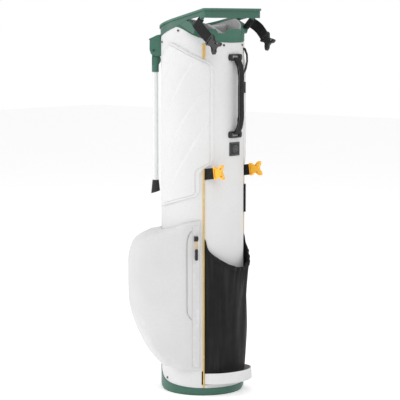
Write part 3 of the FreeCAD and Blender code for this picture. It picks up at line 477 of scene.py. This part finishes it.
def smooth_line(points, step):
    """Points evenly spaced along a smooth curve through the given ones."""
    control = np.array(points, float)
    control = np.vstack([2 * control[0] - control[1], control, 2 * control[-1] - control[-2]])
    fine = []
    for k in range(1, len(control) - 2):
        a, b, c, d = control[k - 1:k + 3]
        for u in np.linspace(0, 1, 24, endpoint=False):
            fine.append(0.5 * (2 * b + (c - a) * u + (2 * a - 5 * b + 4 * c - d) * u ** 2
                               + (3 * b - a - 3 * c + d) * u ** 3))
    fine = np.array(fine + [control[-2]])
    run = np.concatenate([[0], np.cumsum(np.linalg.norm(np.diff(fine, axis=0), axis=1))])
    places = np.linspace(0, run[-1], max(2, round(run[-1] / step) + 1))
    return np.array([[np.interp(s, run, fine[:, k]) for k in range(len(fine[0]))] for s in places])


def wall(turn, z, radius=SHELL):
    """A point on the tube: bearing in degrees from +X, height and radius in metres."""
    return np.array([radius * math.cos(math.radians(turn)), radius * math.sin(math.radians(turn)), z])


def stitches(name, line, normals, slot, material, body="bag", length=0.0026, gap=0.0016, width=0.0007, lift=0.0001):
    """A row of lock stitches along a line: small rounded beads of thread that dip in at both ends."""
    bm = bmesh.new()
    line = np.array(line, float)
    run = np.concatenate([[0], np.cumsum(np.linalg.norm(np.diff(line, axis=0), axis=1))])
    ring = [(math.cos(t), math.sin(t)) for t in np.linspace(0, 2 * math.pi, 6, endpoint=False)]
    for start in np.arange(gap / 2, run[-1] - length, length + gap):
        verts = []
        for part, thick in ((0.0, 0.35), (0.22, 0.9), (0.5, 1.0), (0.78, 0.9), (1.0, 0.35)):
            s = start + part * length
            here = Vector([np.interp(s, run, line[:, k]) for k in range(3)])
            ahead = Vector([np.interp(s + 1e-4, run, line[:, k]) for k in range(3)]) - here
            up = Vector([np.interp(s, run, normals[:, k]) for k in range(3)]).normalized()
            ahead = ahead.normalized() if ahead.length > 1e-9 else up.orthogonal()
            side = ahead.cross(up).normalized()
            centre = here + up * (lift + width * 0.28 * math.sin(math.pi * part) - width * 0.1)
            verts.append([bm.verts.new(centre + (side * c + up * 0.7 * s_) * width / 2 * thick) for c, s_ in ring])
        for one, two in zip(verts[:-1], verts[1:]):
            for k in range(6):
                bm.faces.new((one[k], one[(k + 1) % 6], two[(k + 1) % 6], two[k]))
        bm.faces.new(verts[0][::-1])
        bm.faces.new(verts[-1])
    bmesh.ops.recalc_face_normals(bm, faces=bm.faces)
    mesh = bpy.data.meshes.new(name)
    bm.to_mesh(mesh)
    bm.free()
    mesh.shade_smooth()
    return new_piece(name, mesh, material, body)


def welt(name, places, normals, radius, material, body="bag"):
    """A thin round bead pressed half into the surface along a line, as where two cloths are sewn together."""
    curve = bpy.data.curves.new(name, "CURVE")
    curve.dimensions = "3D"
    curve.bevel_depth, curve.bevel_resolution = radius, 2
    spline = curve.splines.new("POLY")
    spline.points.add(len(places) - 1)
    for point, place, normal in zip(spline.points, places, normals):
        point.co = (*(Vector(place) - Vector(normal) * radius * 0.3), 1)
    holder = bpy.data.objects.new("making", curve)
    bpy.context.scene.collection.objects.link(holder)
    mesh = baked(holder)
    bpy.data.objects.remove(holder)
    mesh.name = name
    mesh.shade_smooth()
    return new_piece(name, mesh, material, body)


def on_surface(line, source, outward, reach=0.03):
    """Drops a line on to a mesh from outside: returns the points on its surface and the normals there."""
    tree = BVHTree.FromPolygons([v.co for v in source.vertices], [p.vertices for p in source.polygons])
    places, normals = [], []
    for point in line:
        out = Vector(outward(point)).normalized()
        hit, normal, _, _ = tree.ray_cast(Vector(point) + out * reach, -out, 2 * reach)
        if hit is not None:
            places.append(hit)
            normals.append(normal if normal.dot(out) > 0 else -normal)
    return np.array(places), np.array(normals)


def radial(point):
    return (point[0], point[1], 0)


# ---------------------------------------------------------------- finishes of the frame's own nodes
GREEN, WHITE = (0.038, 0.122, 0.086), (0.77, 0.77, 0.77)
AMBER, BLACK = (0.93, 0.47, 0.018), (0.011, 0.011, 0.012)
GREY, PALE_YELLOW = (0.40, 0.40, 0.402), (0.90, 0.56, 0.12)

FINISH = {
    "green_moulding": moulded("green_plastic", GREEN, 0.40),
    "white_fabric": woven("white_polyester", WHITE),
    "white_moulded": woven("white_embossed", shade(WHITE, 1.03), 0.0016, 0.00016, puckers=0.0003),
    "grey_padding": padding("grey_tricot", GREY),
    "grey_lining": woven("grey_lining", shade(GREY, 0.7), 0.0014, 0.0001),
    "white_leg": lacquer("white_enamel", (0.78, 0.79, 0.79)),
    "black_rubber": moulded("black_rubber", (0.02, 0.02, 0.021), 0.75, 700, 0.0001, 1.6),
    "yellow_trim": webbing("yellow_binding", PALE_YELLOW, "z", 0.0014),
    "yellow_plastic": moulded("amber_plastic", AMBER, 0.30, coat=0.3, wear=1.1),
    "black_plastic": moulded("black_plastic", BLACK, 0.42, 1200, wear=1.8),
    "black_webbing": webbing("black_webbing_up", (0.012, 0.012, 0.013), "z"),
    "black_mesh": knit_mesh("black_stretch_mesh", (0.010, 0.010, 0.011)),
    "dark_steel": metal("dark_steel", (0.16, 0.16, 0.17)),
}
ZIP_TAPE = webbing("white_zip_tape", (0.87, 0.865, 0.875), "z", 0.0010)
# Painted shade: the pocket's fabric is the body's white polyester darkened to 0.92, as its bulge faces away from the
# light. Its coarser weave and stronger mottle are its own.
SHADED_POCKET_FABRIC = woven("white_pocket_polyester_painted_shade", shade(WHITE, 0.92), 0.0013, 0.00018, mottle=0.86)
DARK_FIXING = moulded("blackened_steel", (0.02, 0.02, 0.021), 0.35, 900, 0.00003, 2.5)
FLAT_WEBBING = webbing("black_webbing_out", (0.012, 0.012, 0.013), "x")
SLOT_OF = {item["node"]: item["material_slot"] for item in frame["record"]["subparts"]}


def finish_frame_nodes():
    special = dict.fromkeys(("left_anchor_webbing", "right_anchor_webbing"), FLAT_WEBBING)
    special["pocket_zip_tape"] = ZIP_TAPE
    fixings = ("cuff_rivets", "base_rivets", "handle_screws", "left_leg_pivot_pin", "right_leg_pivot_pin")
    special.update(dict.fromkeys(fixings, DARK_FIXING))
    for node, obj in NODES.items():
        material = special.get(node, FINISH[SLOT_OF[node]])
        obj.data.materials.clear()
        obj.data.materials.append(material)
        for face in obj.data.polygons:
            face.material_index = 0


# ---------------------------------------------------------------- the fabric tube
def make_body():
    mesh = gridded("body_shell", "body_fabric", 0.006, math.radians(3))
    p = points_of(mesh)
    r, turn = np.hypot(p[:, 0], p[:, 1]), np.degrees(np.arctan2(p[:, 1], p[:, 0]))
    outer = r > 0.0938
    r = np.where(outer & (r > 0.0945), SHELL, r)
    z = p[:, 2]
    calm = 1 - np.maximum(ramp(z, 0.72, 0.78), 1 - ramp(z, 0.085, 0.14))
    folds = 0.0007 * rumple(p, 34, 11) + 0.0005 * rumple(p, 80, 12) * ramp(np.abs(turn), 40, 60)
    push = np.minimum(folds, 0.0) * calm
    # The wall is drawn in along both piped seams.
    push -= 0.0008 * np.exp(-((np.abs(turn) - 48.3) / 1.4) ** 2) * (z < 0.522)
    r = r + push
    p[:, 0], p[:, 1] = r * np.cos(np.radians(turn)), r * np.sin(np.radians(turn))
    set_points(mesh, p)
    smooth(mesh)
    new_piece("body_fabric", mesh, FINISH["white_fabric"], "bag", ["body_shell"])


# Crests pressed into each flank panel: bearing in degrees and height in millimetres.
CRESTS = [
    [(-91, 783), (-98, 766), (-104, 746), (-112, 726), (-119, 707), (-125, 684)],
    [(-66, 755), (-76, 733), (-87, 701), (-95, 676), (-103, 650), (-112, 628), (-120, 606)],
    [(-44, 699), (-55, 685), (-63, 666), (-72, 647), (-79, 627), (-88, 603), (-96, 580), (-103, 557),
     (-111, 531), (-125, 501)],
    [(-50, 613), (-60, 588), (-68, 564), (-76, 542), (-83, 525), (-90, 504), (-97, 483), (-108, 449)],
]


# Stitched lines of each flank panel, seen square on to the flank: along X and up, in millimetres.
PANEL_SEAM = [(-50, 741), (-41, 768.5), (-26, 788.6), (-13.3, 797.2), (12.7, 787.8), (39.5, 774.4),
              (56.8, 765.5), (69.7, 757.2), (74.8, 750), (75, 700), (75, 640), (75, 580), (75, 540),
              (70, 531), (54.5, 521.2), (49.6, 511.9), (49.6, 490), (49.6, 468), (44.6, 462.4),
              (15.5, 453.3), (-39.8, 437.8)]
PANEL_HEM = [(-55, 744), (-45.5, 773), (-29, 794.2), (-12, 801), (-1.3, 798.4), (19, 789.5),
             (39.5, 777.9), (57, 769), (71, 759.6)]


def crest_height(turn, z):
    """The panel sinks slowly towards each crest from above and rises sharply over it."""
    flat = np.column_stack([np.radians(turn) * 0.099, z])
    total = np.zeros(len(flat))
    for crest in CRESTS:
        line = np.array([(math.radians(a) * 0.099, b / 1000) for a, b in crest])
        best, side = np.full(len(flat), 1e9), np.zeros(len(flat))
        for a, b in zip(line[:-1], line[1:]):
            along = b - a
            part = np.clip((flat - a) @ along / (along @ along), 0, 1)
            off = flat - a - part[:, None] * along
            length = np.linalg.norm(off, axis=1)
            sign = np.sign(along[0] * (flat[:, 1] - a[1]) - along[1] * (flat[:, 0] - a[0]))
            nearer = length < best
            best, side = np.where(nearer, length, best), np.where(nearer, sign, side)
        signed = best * side
        total -= np.exp(np.minimum(signed, 0) / 0.013) * (1 - ramp(signed, -0.0015, 0.0055))
    return total


def make_panel(side):
    sign = -1 if side == "left" else 1
    node = f"{side}_side_panel"
    mesh = gridded(node, node, 0.0022, math.radians(1.3))
    p = points_of(mesh)
    r, turn = np.hypot(p[:, 0], p[:, 1]), np.degrees(np.arctan2(p[:, 1], p[:, 0]))
    proud = ramp(r, 0.0972, 0.0992)
    r = r + proud * (0.0024 * crest_height(-np.abs(turn), p[:, 2]) + 0.0003 * rumple(p, 45, 21))
    p[:, 0], p[:, 1] = r * np.cos(np.radians(turn)), r * np.sin(np.radians(turn))
    set_points(mesh, p)
    smooth(mesh, 50)
    new_piece(f"{side}_panel_cover", mesh, FINISH["white_moulded"], "bag", [node])
    for label, outline in (("inner", PANEL_SEAM), ("outer", PANEL_HEM)):
        line = smooth_line([(x / 1000, sign * 0.13, z / 1000) for x, z in outline], 0.002)
        places, normals = on_surface(line, mesh, lambda point: (0, sign, 0), reach=0.12)
        if len(places) > 3:
            stitches(f"{side}_panel_stitching_{label}", places, normals, "white_moulded", THREAD_PALE, width=0.0008)


# ---------------------------------------------------------------- the ball pocket
FACE = math.radians(40)
FACE_OUT = (math.sin(FACE), -math.cos(FACE), 0)


def face_place(across, z, depth=0.13):
    """A point in front of the pocket's face, across it (towards the spine is positive) and up, in metres."""
    return (across * math.cos(FACE) + depth * math.sin(FACE), across * math.sin(FACE) - depth * math.cos(FACE), z)


def pocket_hold(p):
    """1 where the pocket's fabric is held: along its zip and against the tube."""
    across = p[:, 0] * math.cos(FACE) + p[:, 1] * math.sin(FACE)
    forward = p[:, 0] * math.sin(FACE) - p[:, 1] * math.cos(FACE)
    zip_side = 1 - ramp(np.abs(across + 0.015), 0.009, 0.028)
    return np.maximum(zip_side * (forward > 0.03), 1 - ramp(np.hypot(p[:, 0], p[:, 1]), 0.0965, 0.108))


def make_pocket():
    mesh = stuffed(outer_skin("ball_pocket", "pocket_skin"), 0.0045, 0.004, hold=pocket_hold)
    mesh = subdivided(mesh)
    p = points_of(mesh)
    across = p[:, 0] * math.cos(FACE) + p[:, 1] * math.sin(FACE)
    free = 1 - pocket_hold(p)
    normals = np.array([v.normal for v in mesh.vertices])
    flat_p = np.column_stack([across, p[:, 2]])
    flat_line = [(u / 1000, z / 1000) for u, z in GARAGE]
    groove = near_line(flat_p, flat_line, 0.0035) * (normals @ np.array(FACE_OUT) > 0.3)
    push = -0.0022 * groove + 0.0010 * rumple(p, 30, 31) * free + 0.0006 * rumple(p, 85, 32) * free
    set_points(mesh, p + normals * push[:, None])
    mesh.shade_smooth()
    pocket = new_piece("pocket_fabric", mesh, SHADED_POCKET_FABRIC, "bag", ["ball_pocket"])
    line = smooth_line([face_place((u - 2.2) / 1000, z / 1000) for u, z in GARAGE], 0.002)
    places, normals = on_surface(line, mesh, lambda point: FACE_OUT, reach=0.14)
    stitches("garage_stitching", places, normals, "white_fabric", THREAD_PALE)
    line = smooth_line([face_place(u / 1000, z / 1000) for u, z in GARAGE], 0.002)
    places, normals = on_surface(line, mesh, lambda point: FACE_OUT, reach=0.14)
    welt("garage_seam", places, normals, 0.0006, THREAD_SHADOW)


GARAGE = [(-25, 380), (-31, 370), (-34, 358), (-35, 345), (-35, 290), (-35, 240), (-35, 205), (-33, 190), (-25, 177)]
THREAD_SHADOW = moulded("seam_shadow", (0.16, 0.16, 0.16), 0.8, 3000, 0.00003)
THREAD_WHITE = moulded("white_thread", (0.62, 0.62, 0.62), 0.6, 3000, 0.00003)
THREAD_BLACK = moulded("black_thread", (0.03, 0.03, 0.03), 0.6, 3000, 0.00003)
THREAD_PALE = moulded("pale_thread", (0.34, 0.34, 0.34), 0.6, 3000, 0.00003)


# A point on the zip's line, and the direction that its face looks in.
ZIP_PLACE = (0.05236, -0.08595, 0)
ZIP_FACING = (math.cos(math.radians(-42.9)), math.sin(math.radians(-42.9)), 0)


def make_zip():
    """Coil teeth down the middle of the tape, closed from end to end."""
    low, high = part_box("pocket_zip_tape")
    out = Vector(ZIP_FACING)
    side = Vector((-out.y, out.x, 0))
    reach = max(v.co.dot(out) for v in NODES["pocket_zip_tape"].data.vertices)
    across = [v.co.dot(side) for v in NODES["pocket_zip_tape"].data.vertices]
    middle = side * (max(across) + min(across)) / 2 + out * reach
    bm = bmesh.new()
    pitch = 0.0015
    for k in range(int((high.z - low.z - 0.02) / pitch)):
        z = low.z + 0.016 + k * pitch
        if z > high.z - 0.008:
            break
        lean = 0.0006 if k % 2 else -0.0006
        for part in (0, 1):
            matrix = Matrix.Translation(middle + Vector((0, 0, z)) + side * (lean + (part - 0.5) * 0.0009))
            matrix = matrix @ Matrix((side, Vector((0, 0, 1)), out)).transposed().to_4x4()
            matrix = matrix @ Matrix.Diagonal((0.0017, 0.0005, 0.0006, 1))
            bmesh.ops.create_icosphere(bm, subdivisions=1, radius=1, matrix=matrix)
    mesh = bpy.data.meshes.new("zip_coil")
    bm.to_mesh(mesh)
    bm.free()
    mesh.shade_smooth()
    new_piece("zip_coil", mesh, THREAD_WHITE)
    for name, offset in (("zip_stitching_in", 0.0042), ("zip_stitching_out", -0.0042)):
        line = [middle + side * offset + Vector((0, 0, z)) for z in np.arange(low.z + 0.004, high.z - 0.004, 0.002)]
        stitches(name, line, np.array([out] * len(line)), "white_fabric", THREAD_WHITE)


# ---------------------------------------------------------------- padded collar and dividers
def make_pads():
    for node in ("cross_divider_pad", "leg_side_divider_pad", "spine_side_divider_pad"):
        mesh = stuffed(NODES[node].data.copy(), 0.004, 0.003, shrink=0.0012)
        mesh = subdivided(mesh)
        p = points_of(mesh)
        normals = np.array([v.normal for v in mesh.vertices])
        set_points(mesh, p + normals * (0.0004 * rumple(p, 90, 41))[:, None])
        mesh.shade_smooth()
        piece = new_piece(node.replace("pad", "padding"), mesh, FINISH["grey_padding"], "bag", [node])


def make_collar():
    mesh = gridded("cuff_liner", "collar", 0.003, math.radians(2))
    p = points_of(mesh)
    r, turn = np.hypot(p[:, 0], p[:, 1]), np.degrees(np.arctan2(p[:, 1], p[:, 0]))
    inward = ramp(0.0875 - r, 0.0, 0.002)
    puff = 0.0016 * np.abs(np.cos(np.radians(turn) * 6)) ** 0.6 + 0.0004 * rumple(p, 70, 51)
    r = r - inward * puff
    p[:, 0], p[:, 1] = r * np.cos(np.radians(turn)), r * np.sin(np.radians(turn))
    set_points(mesh, p)
    smooth(mesh, 60)
    piece = new_piece("collar_padding", mesh, FINISH["grey_padding"], "bag", ["cuff_liner"])


def make_divider_sheets():
    """Thin full-length divider cloths under the padding, a little slack between their sewn edges."""
    for node, across in (("cross_divider_sheet", 1), ("leg_side_divider_sheet", 0), ("spine_side_divider_sheet", 0)):
        low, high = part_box(node)
        width, height = (high - low)[across], high.z - low.z
        columns, rows = max(6, round(width / 0.008)), 60
        verts, faces = [], []
        for j in range(rows + 1):
            for i in range(columns + 1):
                u, v = i / columns, j / rows
                slack = math.sin(math.pi * u) * math.sin(math.pi * v) ** 0.5
                bow = slack * (0.0006 + 0.0009 * math.sin(9 * v + 3 * u) + 0.0006 * math.sin(23 * v + 2))
                spot = [0.0, 0.0, low.z + v * height]
                spot[across] = low[across] + u * width
                spot[1 - across] = bow
                verts.append(spot)
        step = columns + 1
        for j in range(rows):
            for i in range(columns):
                a = j * step + i
                faces.append((a, a + 1, a + 1 + step, a + step))
        mesh = bpy.data.meshes.new(node.replace("sheet", "cloth"))
        mesh.from_pydata(verts, [], faces)
        mesh.shade_smooth()
        cloth = new_piece(node.replace("sheet", "cloth"), mesh, FINISH["grey_lining"], "bag", [node])


# ---------------------------------------------------------------- stretch pouch, bands and grips
def make_pouch():
    for node, name in (("pouch_hem", "pouch_hem_binding"), ("stretch_pouch", "pouch_cloth")):
        mesh = gridded(node, name, 0.0035, math.radians(1.0))
        p = points_of(mesh)
        turn = np.degrees(np.arctan2(p[:, 1], p[:, 0]))
        z = p[:, 2]
        free = 1 - ramp(np.abs(turn), 34, 45)
        top = 0.366 - 0.072 * ramp(38 - np.abs(turn), 0, 36)
        gather = ramp(z, top - 0.075, top - 0.004)
        pleats = np.sin(np.radians(turn) * 44 + 1.6 * np.sin(np.radians(turn) * 9)) * 0.0022 * gather
        pleats += np.sin(np.radians(turn) * 19 + 6 * z + 1.5 * np.sin(14 * z)) * 0.0015 * ramp(z, 0.06, 0.16)
        sag = 0.0026 * rumple(p * np.array([1, 1, 0.3]), 85, 61)
        grow = (pleats + sag) * free * ramp(z, 0.03, 0.07)
        p[:, :2] *= (1 + grow / np.hypot(p[:, 0], p[:, 1]))[:, None]
        p[:, 2] += 0.0022 * rumple(p * np.array([1, 1, 0.1]), 120, 62) * ramp(z, top - 0.03, top) * free
        set_points(mesh, p)
        smooth(mesh, 60)
        material = FINISH["black_mesh"] if node == "stretch_pouch" else HEM_FABRIC
        piece = new_piece(name, mesh, material, "bag", [node])


HEM_FABRIC = webbing("black_elastic", (0.013, 0.013, 0.014), "z", 0.0012)


def make_grip():
    """Padded sleeve of the trunk handle."""
    mesh = stuffed(NODES["trunk_handle_grip"].data.copy(), 0.0022, 0.0012, shrink=0.0005,
                   hold=lambda p: 1 - ramp(np.minimum(p[:, 2] - 0.590, 0.768 - p[:, 2]), 0.012, 0.03))
    mesh = subdivided(mesh)
    mesh.shade_smooth()
    piece = new_piece("trunk_handle_sleeve", mesh, FINISH["black_webbing"], "bag",
                      ["trunk_handle_grip"])
    for name, y in (("sleeve_stitching_left", -0.0085), ("sleeve_stitching_right", 0.0085)):
        line = smooth_line([(0.13, y, z) for z in np.linspace(0.606, 0.752, 8)], 0.002)
        places, normals = on_surface(line, mesh, lambda point: (1, 0, 0), reach=0.05)
        stitches(name, places, normals, "black_webbing", THREAD_PALE, width=0.0006)


def make_lift_band():
    """Sewn band for lifting the bag by its base: hemmed edges, slight ripples in its middle."""
    mesh = gridded("base_lift_handle", "lift_band", 0.002, None, ((0, 1, 0), 0.003))
    p = points_of(mesh)
    z = p[:, 2]
    low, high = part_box("base_lift_handle")
    free = 1 - ramp(np.abs(p[:, 1]), 0.042, 0.062)
    edge = np.minimum(z - low.z, high.z - z)
    roll = -0.0006 * np.exp(-((edge - 0.0042) / 0.0011) ** 2)
    p[:, 0] += free * (0.0008 * rumple(p, 60, 71) + roll * (p[:, 0] > 0.1))
    set_points(mesh, p)
    smooth(mesh, 50)
    new_piece("lift_band", mesh, FINISH["white_fabric"], "bag", ["base_lift_handle"])
    for name, height in (("lift_stitching_low", low.z + 0.0042), ("lift_stitching_high", high.z - 0.009)):
        line = [(0.15 * math.cos(t), 0.15 * math.sin(t), height) for t in np.linspace(-0.52, 0.52, 90)]
        places, normals = on_surface(line, mesh, radial, reach=0.06)
        stitches(name, places, normals, "white_fabric", THREAD_WHITE)


# ---------------------------------------------------------------- small sewn details
def wall_seam(name, spots, source, slot, thread, **look):
    """Stitching along a line on the wall, given as bearings in degrees and heights in millimetres."""
    line = smooth_line([(a, b) for a, b in spots], 2.0)
    line = smooth_line([wall(a, b / 1000, 0.115) for a, b in line], 0.002)
    places, normals = on_surface(line, source, radial, reach=0.03)
    if len(places) > 3:
        stitches(name, places, normals, slot, thread, **look)


def box_stitch(name, corners, normal, slot, thread):
    """A sewn box with a cross in it, as on a strap's end."""
    a, b, c, d = [Vector(corner) for corner in corners]
    path = [a, b, c, d, a, c, b, d]
    line = []
    for one, two in zip(path[:-1], path[1:]):
        line += [one.lerp(two, t) for t in np.linspace(0, 1, max(2, round((two - one).length / 0.001)))]
    stitches(name, line, np.array([tuple(normal)] * len(line)), slot, thread, length=0.0018, gap=0.001, width=0.0006)


def dotted(corners, count):
    """Points along a run of straight edges, count to each edge."""
    edges = zip(corners[:-1], corners[1:])
    return [tuple(np.array(a) * (1 - u) + np.array(b) * u) for a, b in edges for u in np.linspace(0, 1, count)]


def make_label():
    """A plain generic mark on the label: one raised ring with a small triangle in it."""
    low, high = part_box("label_patch")
    middle = (low.z + high.z) / 2
    mesh_source = NODES["label_patch"].data
    ring = [(0.0075 * math.cos(t), middle + 0.0075 * math.sin(t)) for t in np.linspace(0, 2 * math.pi, 48)]
    marks = [("label_ring", ring)]
    tri = [(0.004 * math.sin(t), middle + 0.004 * math.cos(t)) for t in (0, 2.094, 4.189, 6.283)]
    marks.append(("label_triangle", dotted(tri, 8)))
    for name, flat in marks:
        raised = [(0.12, y, z) for y, z in flat]
        places, normals = on_surface(raised, mesh_source, lambda point: (1, 0, 0), reach=0.04)
        stitches(name, places, normals, "black_plastic", THREAD_PALE, length=0.0011, gap=0.0003, width=0.0008)
    inset = 0.0022
    near, far, foot, head = low.y + inset, high.y - inset, low.z + inset, high.z - inset
    line = dotted([(near, foot), (far, foot), (far, head), (near, head), (near, foot)], 30)
    raised = [(0.12, y, z) for y, z in line]
    places, normals = on_surface(raised, mesh_source, lambda point: (1, 0, 0), reach=0.04)
    stitches("label_stitching", places, normals, "black_plastic", THREAD_PALE, width=0.0005)


def make_piping_cover():
    """Stitching beside the piping of each side seam: one row of thread either side of it."""
    for side, sign in (("left", -1), ("right", 1)):
        body = bpy.data.meshes["body_fabric"]
        for offset in (-1.9, 1.9):
            name = f"{side}_piping_stitching_{'in' if offset < 0 else 'out'}"
            line = [wall(sign * (48.3 + offset), z, 0.115) for z in np.arange(0.085, 0.52, 0.002)]
            places, normals = on_surface(line, body, radial, reach=0.03)
            if len(places) > 3:
                stitches(name, places, normals, "white_fabric", THREAD_WHITE)


LATHE_SIDES = 28


def lathed(name, profile, place, axis, material, body, stretch=(1, 1, 1), stands_for=()):
    """A turned shape: radius and height pairs spun about an axis, with a fine round section."""
    bm = bmesh.new()
    turns = np.linspace(0, 2 * math.pi, LATHE_SIDES, endpoint=False)
    rings = []
    for radius, height in profile:
        rings.append([bm.verts.new((radius * math.cos(t) * stretch[0], radius * math.sin(t) * stretch[1], height))
                      for t in turns])
    for one, two in zip(rings[:-1], rings[1:]):
        for k in range(LATHE_SIDES):
            after = (k + 1) % LATHE_SIDES
            bm.faces.new((one[k], one[after], two[after], two[k]))
    bm.faces.new(rings[0][::-1])
    bm.faces.new(rings[-1])
    turn = Vector((0, 0, 1)).rotation_difference(Vector(axis)).to_matrix().to_4x4()
    bm.transform(Matrix.Translation(place) @ turn)
    mesh = bpy.data.meshes.new(name)
    bm.to_mesh(mesh)
    bm.free()
    smooth(mesh, 55)
    return new_piece(name, mesh, material, body, stands_for)


def make_zip_pull():
    """Cord loop through the slider's eye, both ends moulded into the rubber grip."""
    out = Vector(ZIP_FACING)
    low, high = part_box("pocket_zip_slider")
    reach = max(v.co.dot(out) for v in NODES["pocket_zip_slider"].data.vertices)
    front = Vector(ZIP_PLACE)
    front += out * (reach - front.dot(out) + 0.0002)
    dome = [(0.0046, -0.0012), (0.0050, -0.0004), (0.0050, 0.0006), (0.0044, 0.0013), (0.0030, 0.0017),
            (0.0012, 0.0019), (0.0001, 0.0019)]
    eye = front + Vector((0, 0, low.z + 0.0066))
    lathed("zip_head", dome, eye, out, FINISH["black_plastic"], "zip_slider")
    low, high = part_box("zip_pull_grip")
    grip = [(0.0015, 0.0), (0.0034, 0.0006), (0.0043, 0.0024), (0.0044, 0.005)]
    for k in range(5):
        z = 0.0066 + k * 0.0028
        grip += [(0.0044, z), (0.0038, z + 0.0006), (0.0038, z + 0.0013), (0.0044, z + 0.0019)]
    grip += [(0.0042, 0.0225), (0.0034, 0.0248), (0.0022, 0.0259)]
    middle = (low + high) / 2
    foot = Vector((middle.x, middle.y, low.z))
    lathed("zip_grip", grip, foot, (0, 0, 1), FINISH["black_rubber"], "zip_pull",
           (0.85, 0.85, 1), ["zip_pull_grip"])
    low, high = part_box("zip_pull_cord")
    middle = (low + high) / 2
    side = Vector((math.cos(math.radians(47.1)), math.sin(math.radians(47.1)), 0))
    loop = [(0.0016, 0), (0.0017, 0.004), (0.0019, 0.009), (0.0018, 0.0135), (0.0009, 0.0168),
            (-0.0009, 0.0168), (-0.0018, 0.0135), (-0.0019, 0.009), (-0.0017, 0.004), (-0.0016, 0)]
    curve = bpy.data.curves.new("zip_cord", "CURVE")
    curve.dimensions = "3D"
    curve.bevel_depth, curve.bevel_resolution, curve.resolution_u = 0.0009, 3, 8
    spline = curve.splines.new("NURBS")
    spline.points.add(len(loop) - 1)
    for point, (off, up) in zip(spline.points, loop):
        point.co = (*(Vector((middle.x, middle.y, low.z + up)) + side * off), 1)
    spline.order_u = 3
    spline.use_endpoint_u = True
    obj = bpy.data.objects.new("zip_cord", curve)
    bpy.context.scene.collection.objects.link(obj)
    curve.materials.append(FINISH["yellow_trim"])
    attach(obj, "zip_pull")
    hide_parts("zip_pull_cord")


# Where the anchors' webbing leaves the side seams, and how far it tips upward.
ANCHOR_X, ANCHOR_Z, ANCHOR_TILT = 0.0625, 0.5085, math.radians(8)


def make_webbing_stitches():
    """Sewn boxes where the anchors' webbing goes through its buckle."""
    rise, run = math.sin(ANCHOR_TILT), math.cos(ANCHOR_TILT)
    for side in ("left", "right"):
        low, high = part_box(f"{side}_anchor_webbing")
        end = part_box(f"{side}_anchor_buckle")[0].x - 0.0025
        start = end - 0.013
        for face, y in (("front", low.y), ("back", high.y)):
            corners = []
            for x, up in ((start, -0.009), (end, -0.009), (end, 0.009), (start, 0.009)):
                along = x - ANCHOR_X
                corners.append((ANCHOR_X + along * run - up * rise, y, ANCHOR_Z + along * rise + up * run))
            out = (0, -1 if face == "front" else 1, 0)
            box_stitch(f"{side}_anchor_stitching_{face}", corners, out, "black_webbing", THREAD_BLACK)


make_camera()
make_stage()
finish_frame_nodes()
make_body()
make_panel("left")
make_panel("right")
make_pocket()
make_zip()
make_pads()
make_collar()
make_divider_sheets()
make_pouch()
make_grip()
make_lift_band()
make_label()
make_piping_cover()
make_zip_pull()
make_webbing_stitches()
body_mesh = bpy.data.meshes["body_fabric"]
for side, sign in (("left", -1), ("right", 1)):
    rim = [(sign * angle, z) for angle, z in ((56, 812), (70, 818), (86, 815), (100, 806))]
    wall_seam(f"rim_stitching_{side}", rim, body_mesh, "white_fabric", THREAD_WHITE)
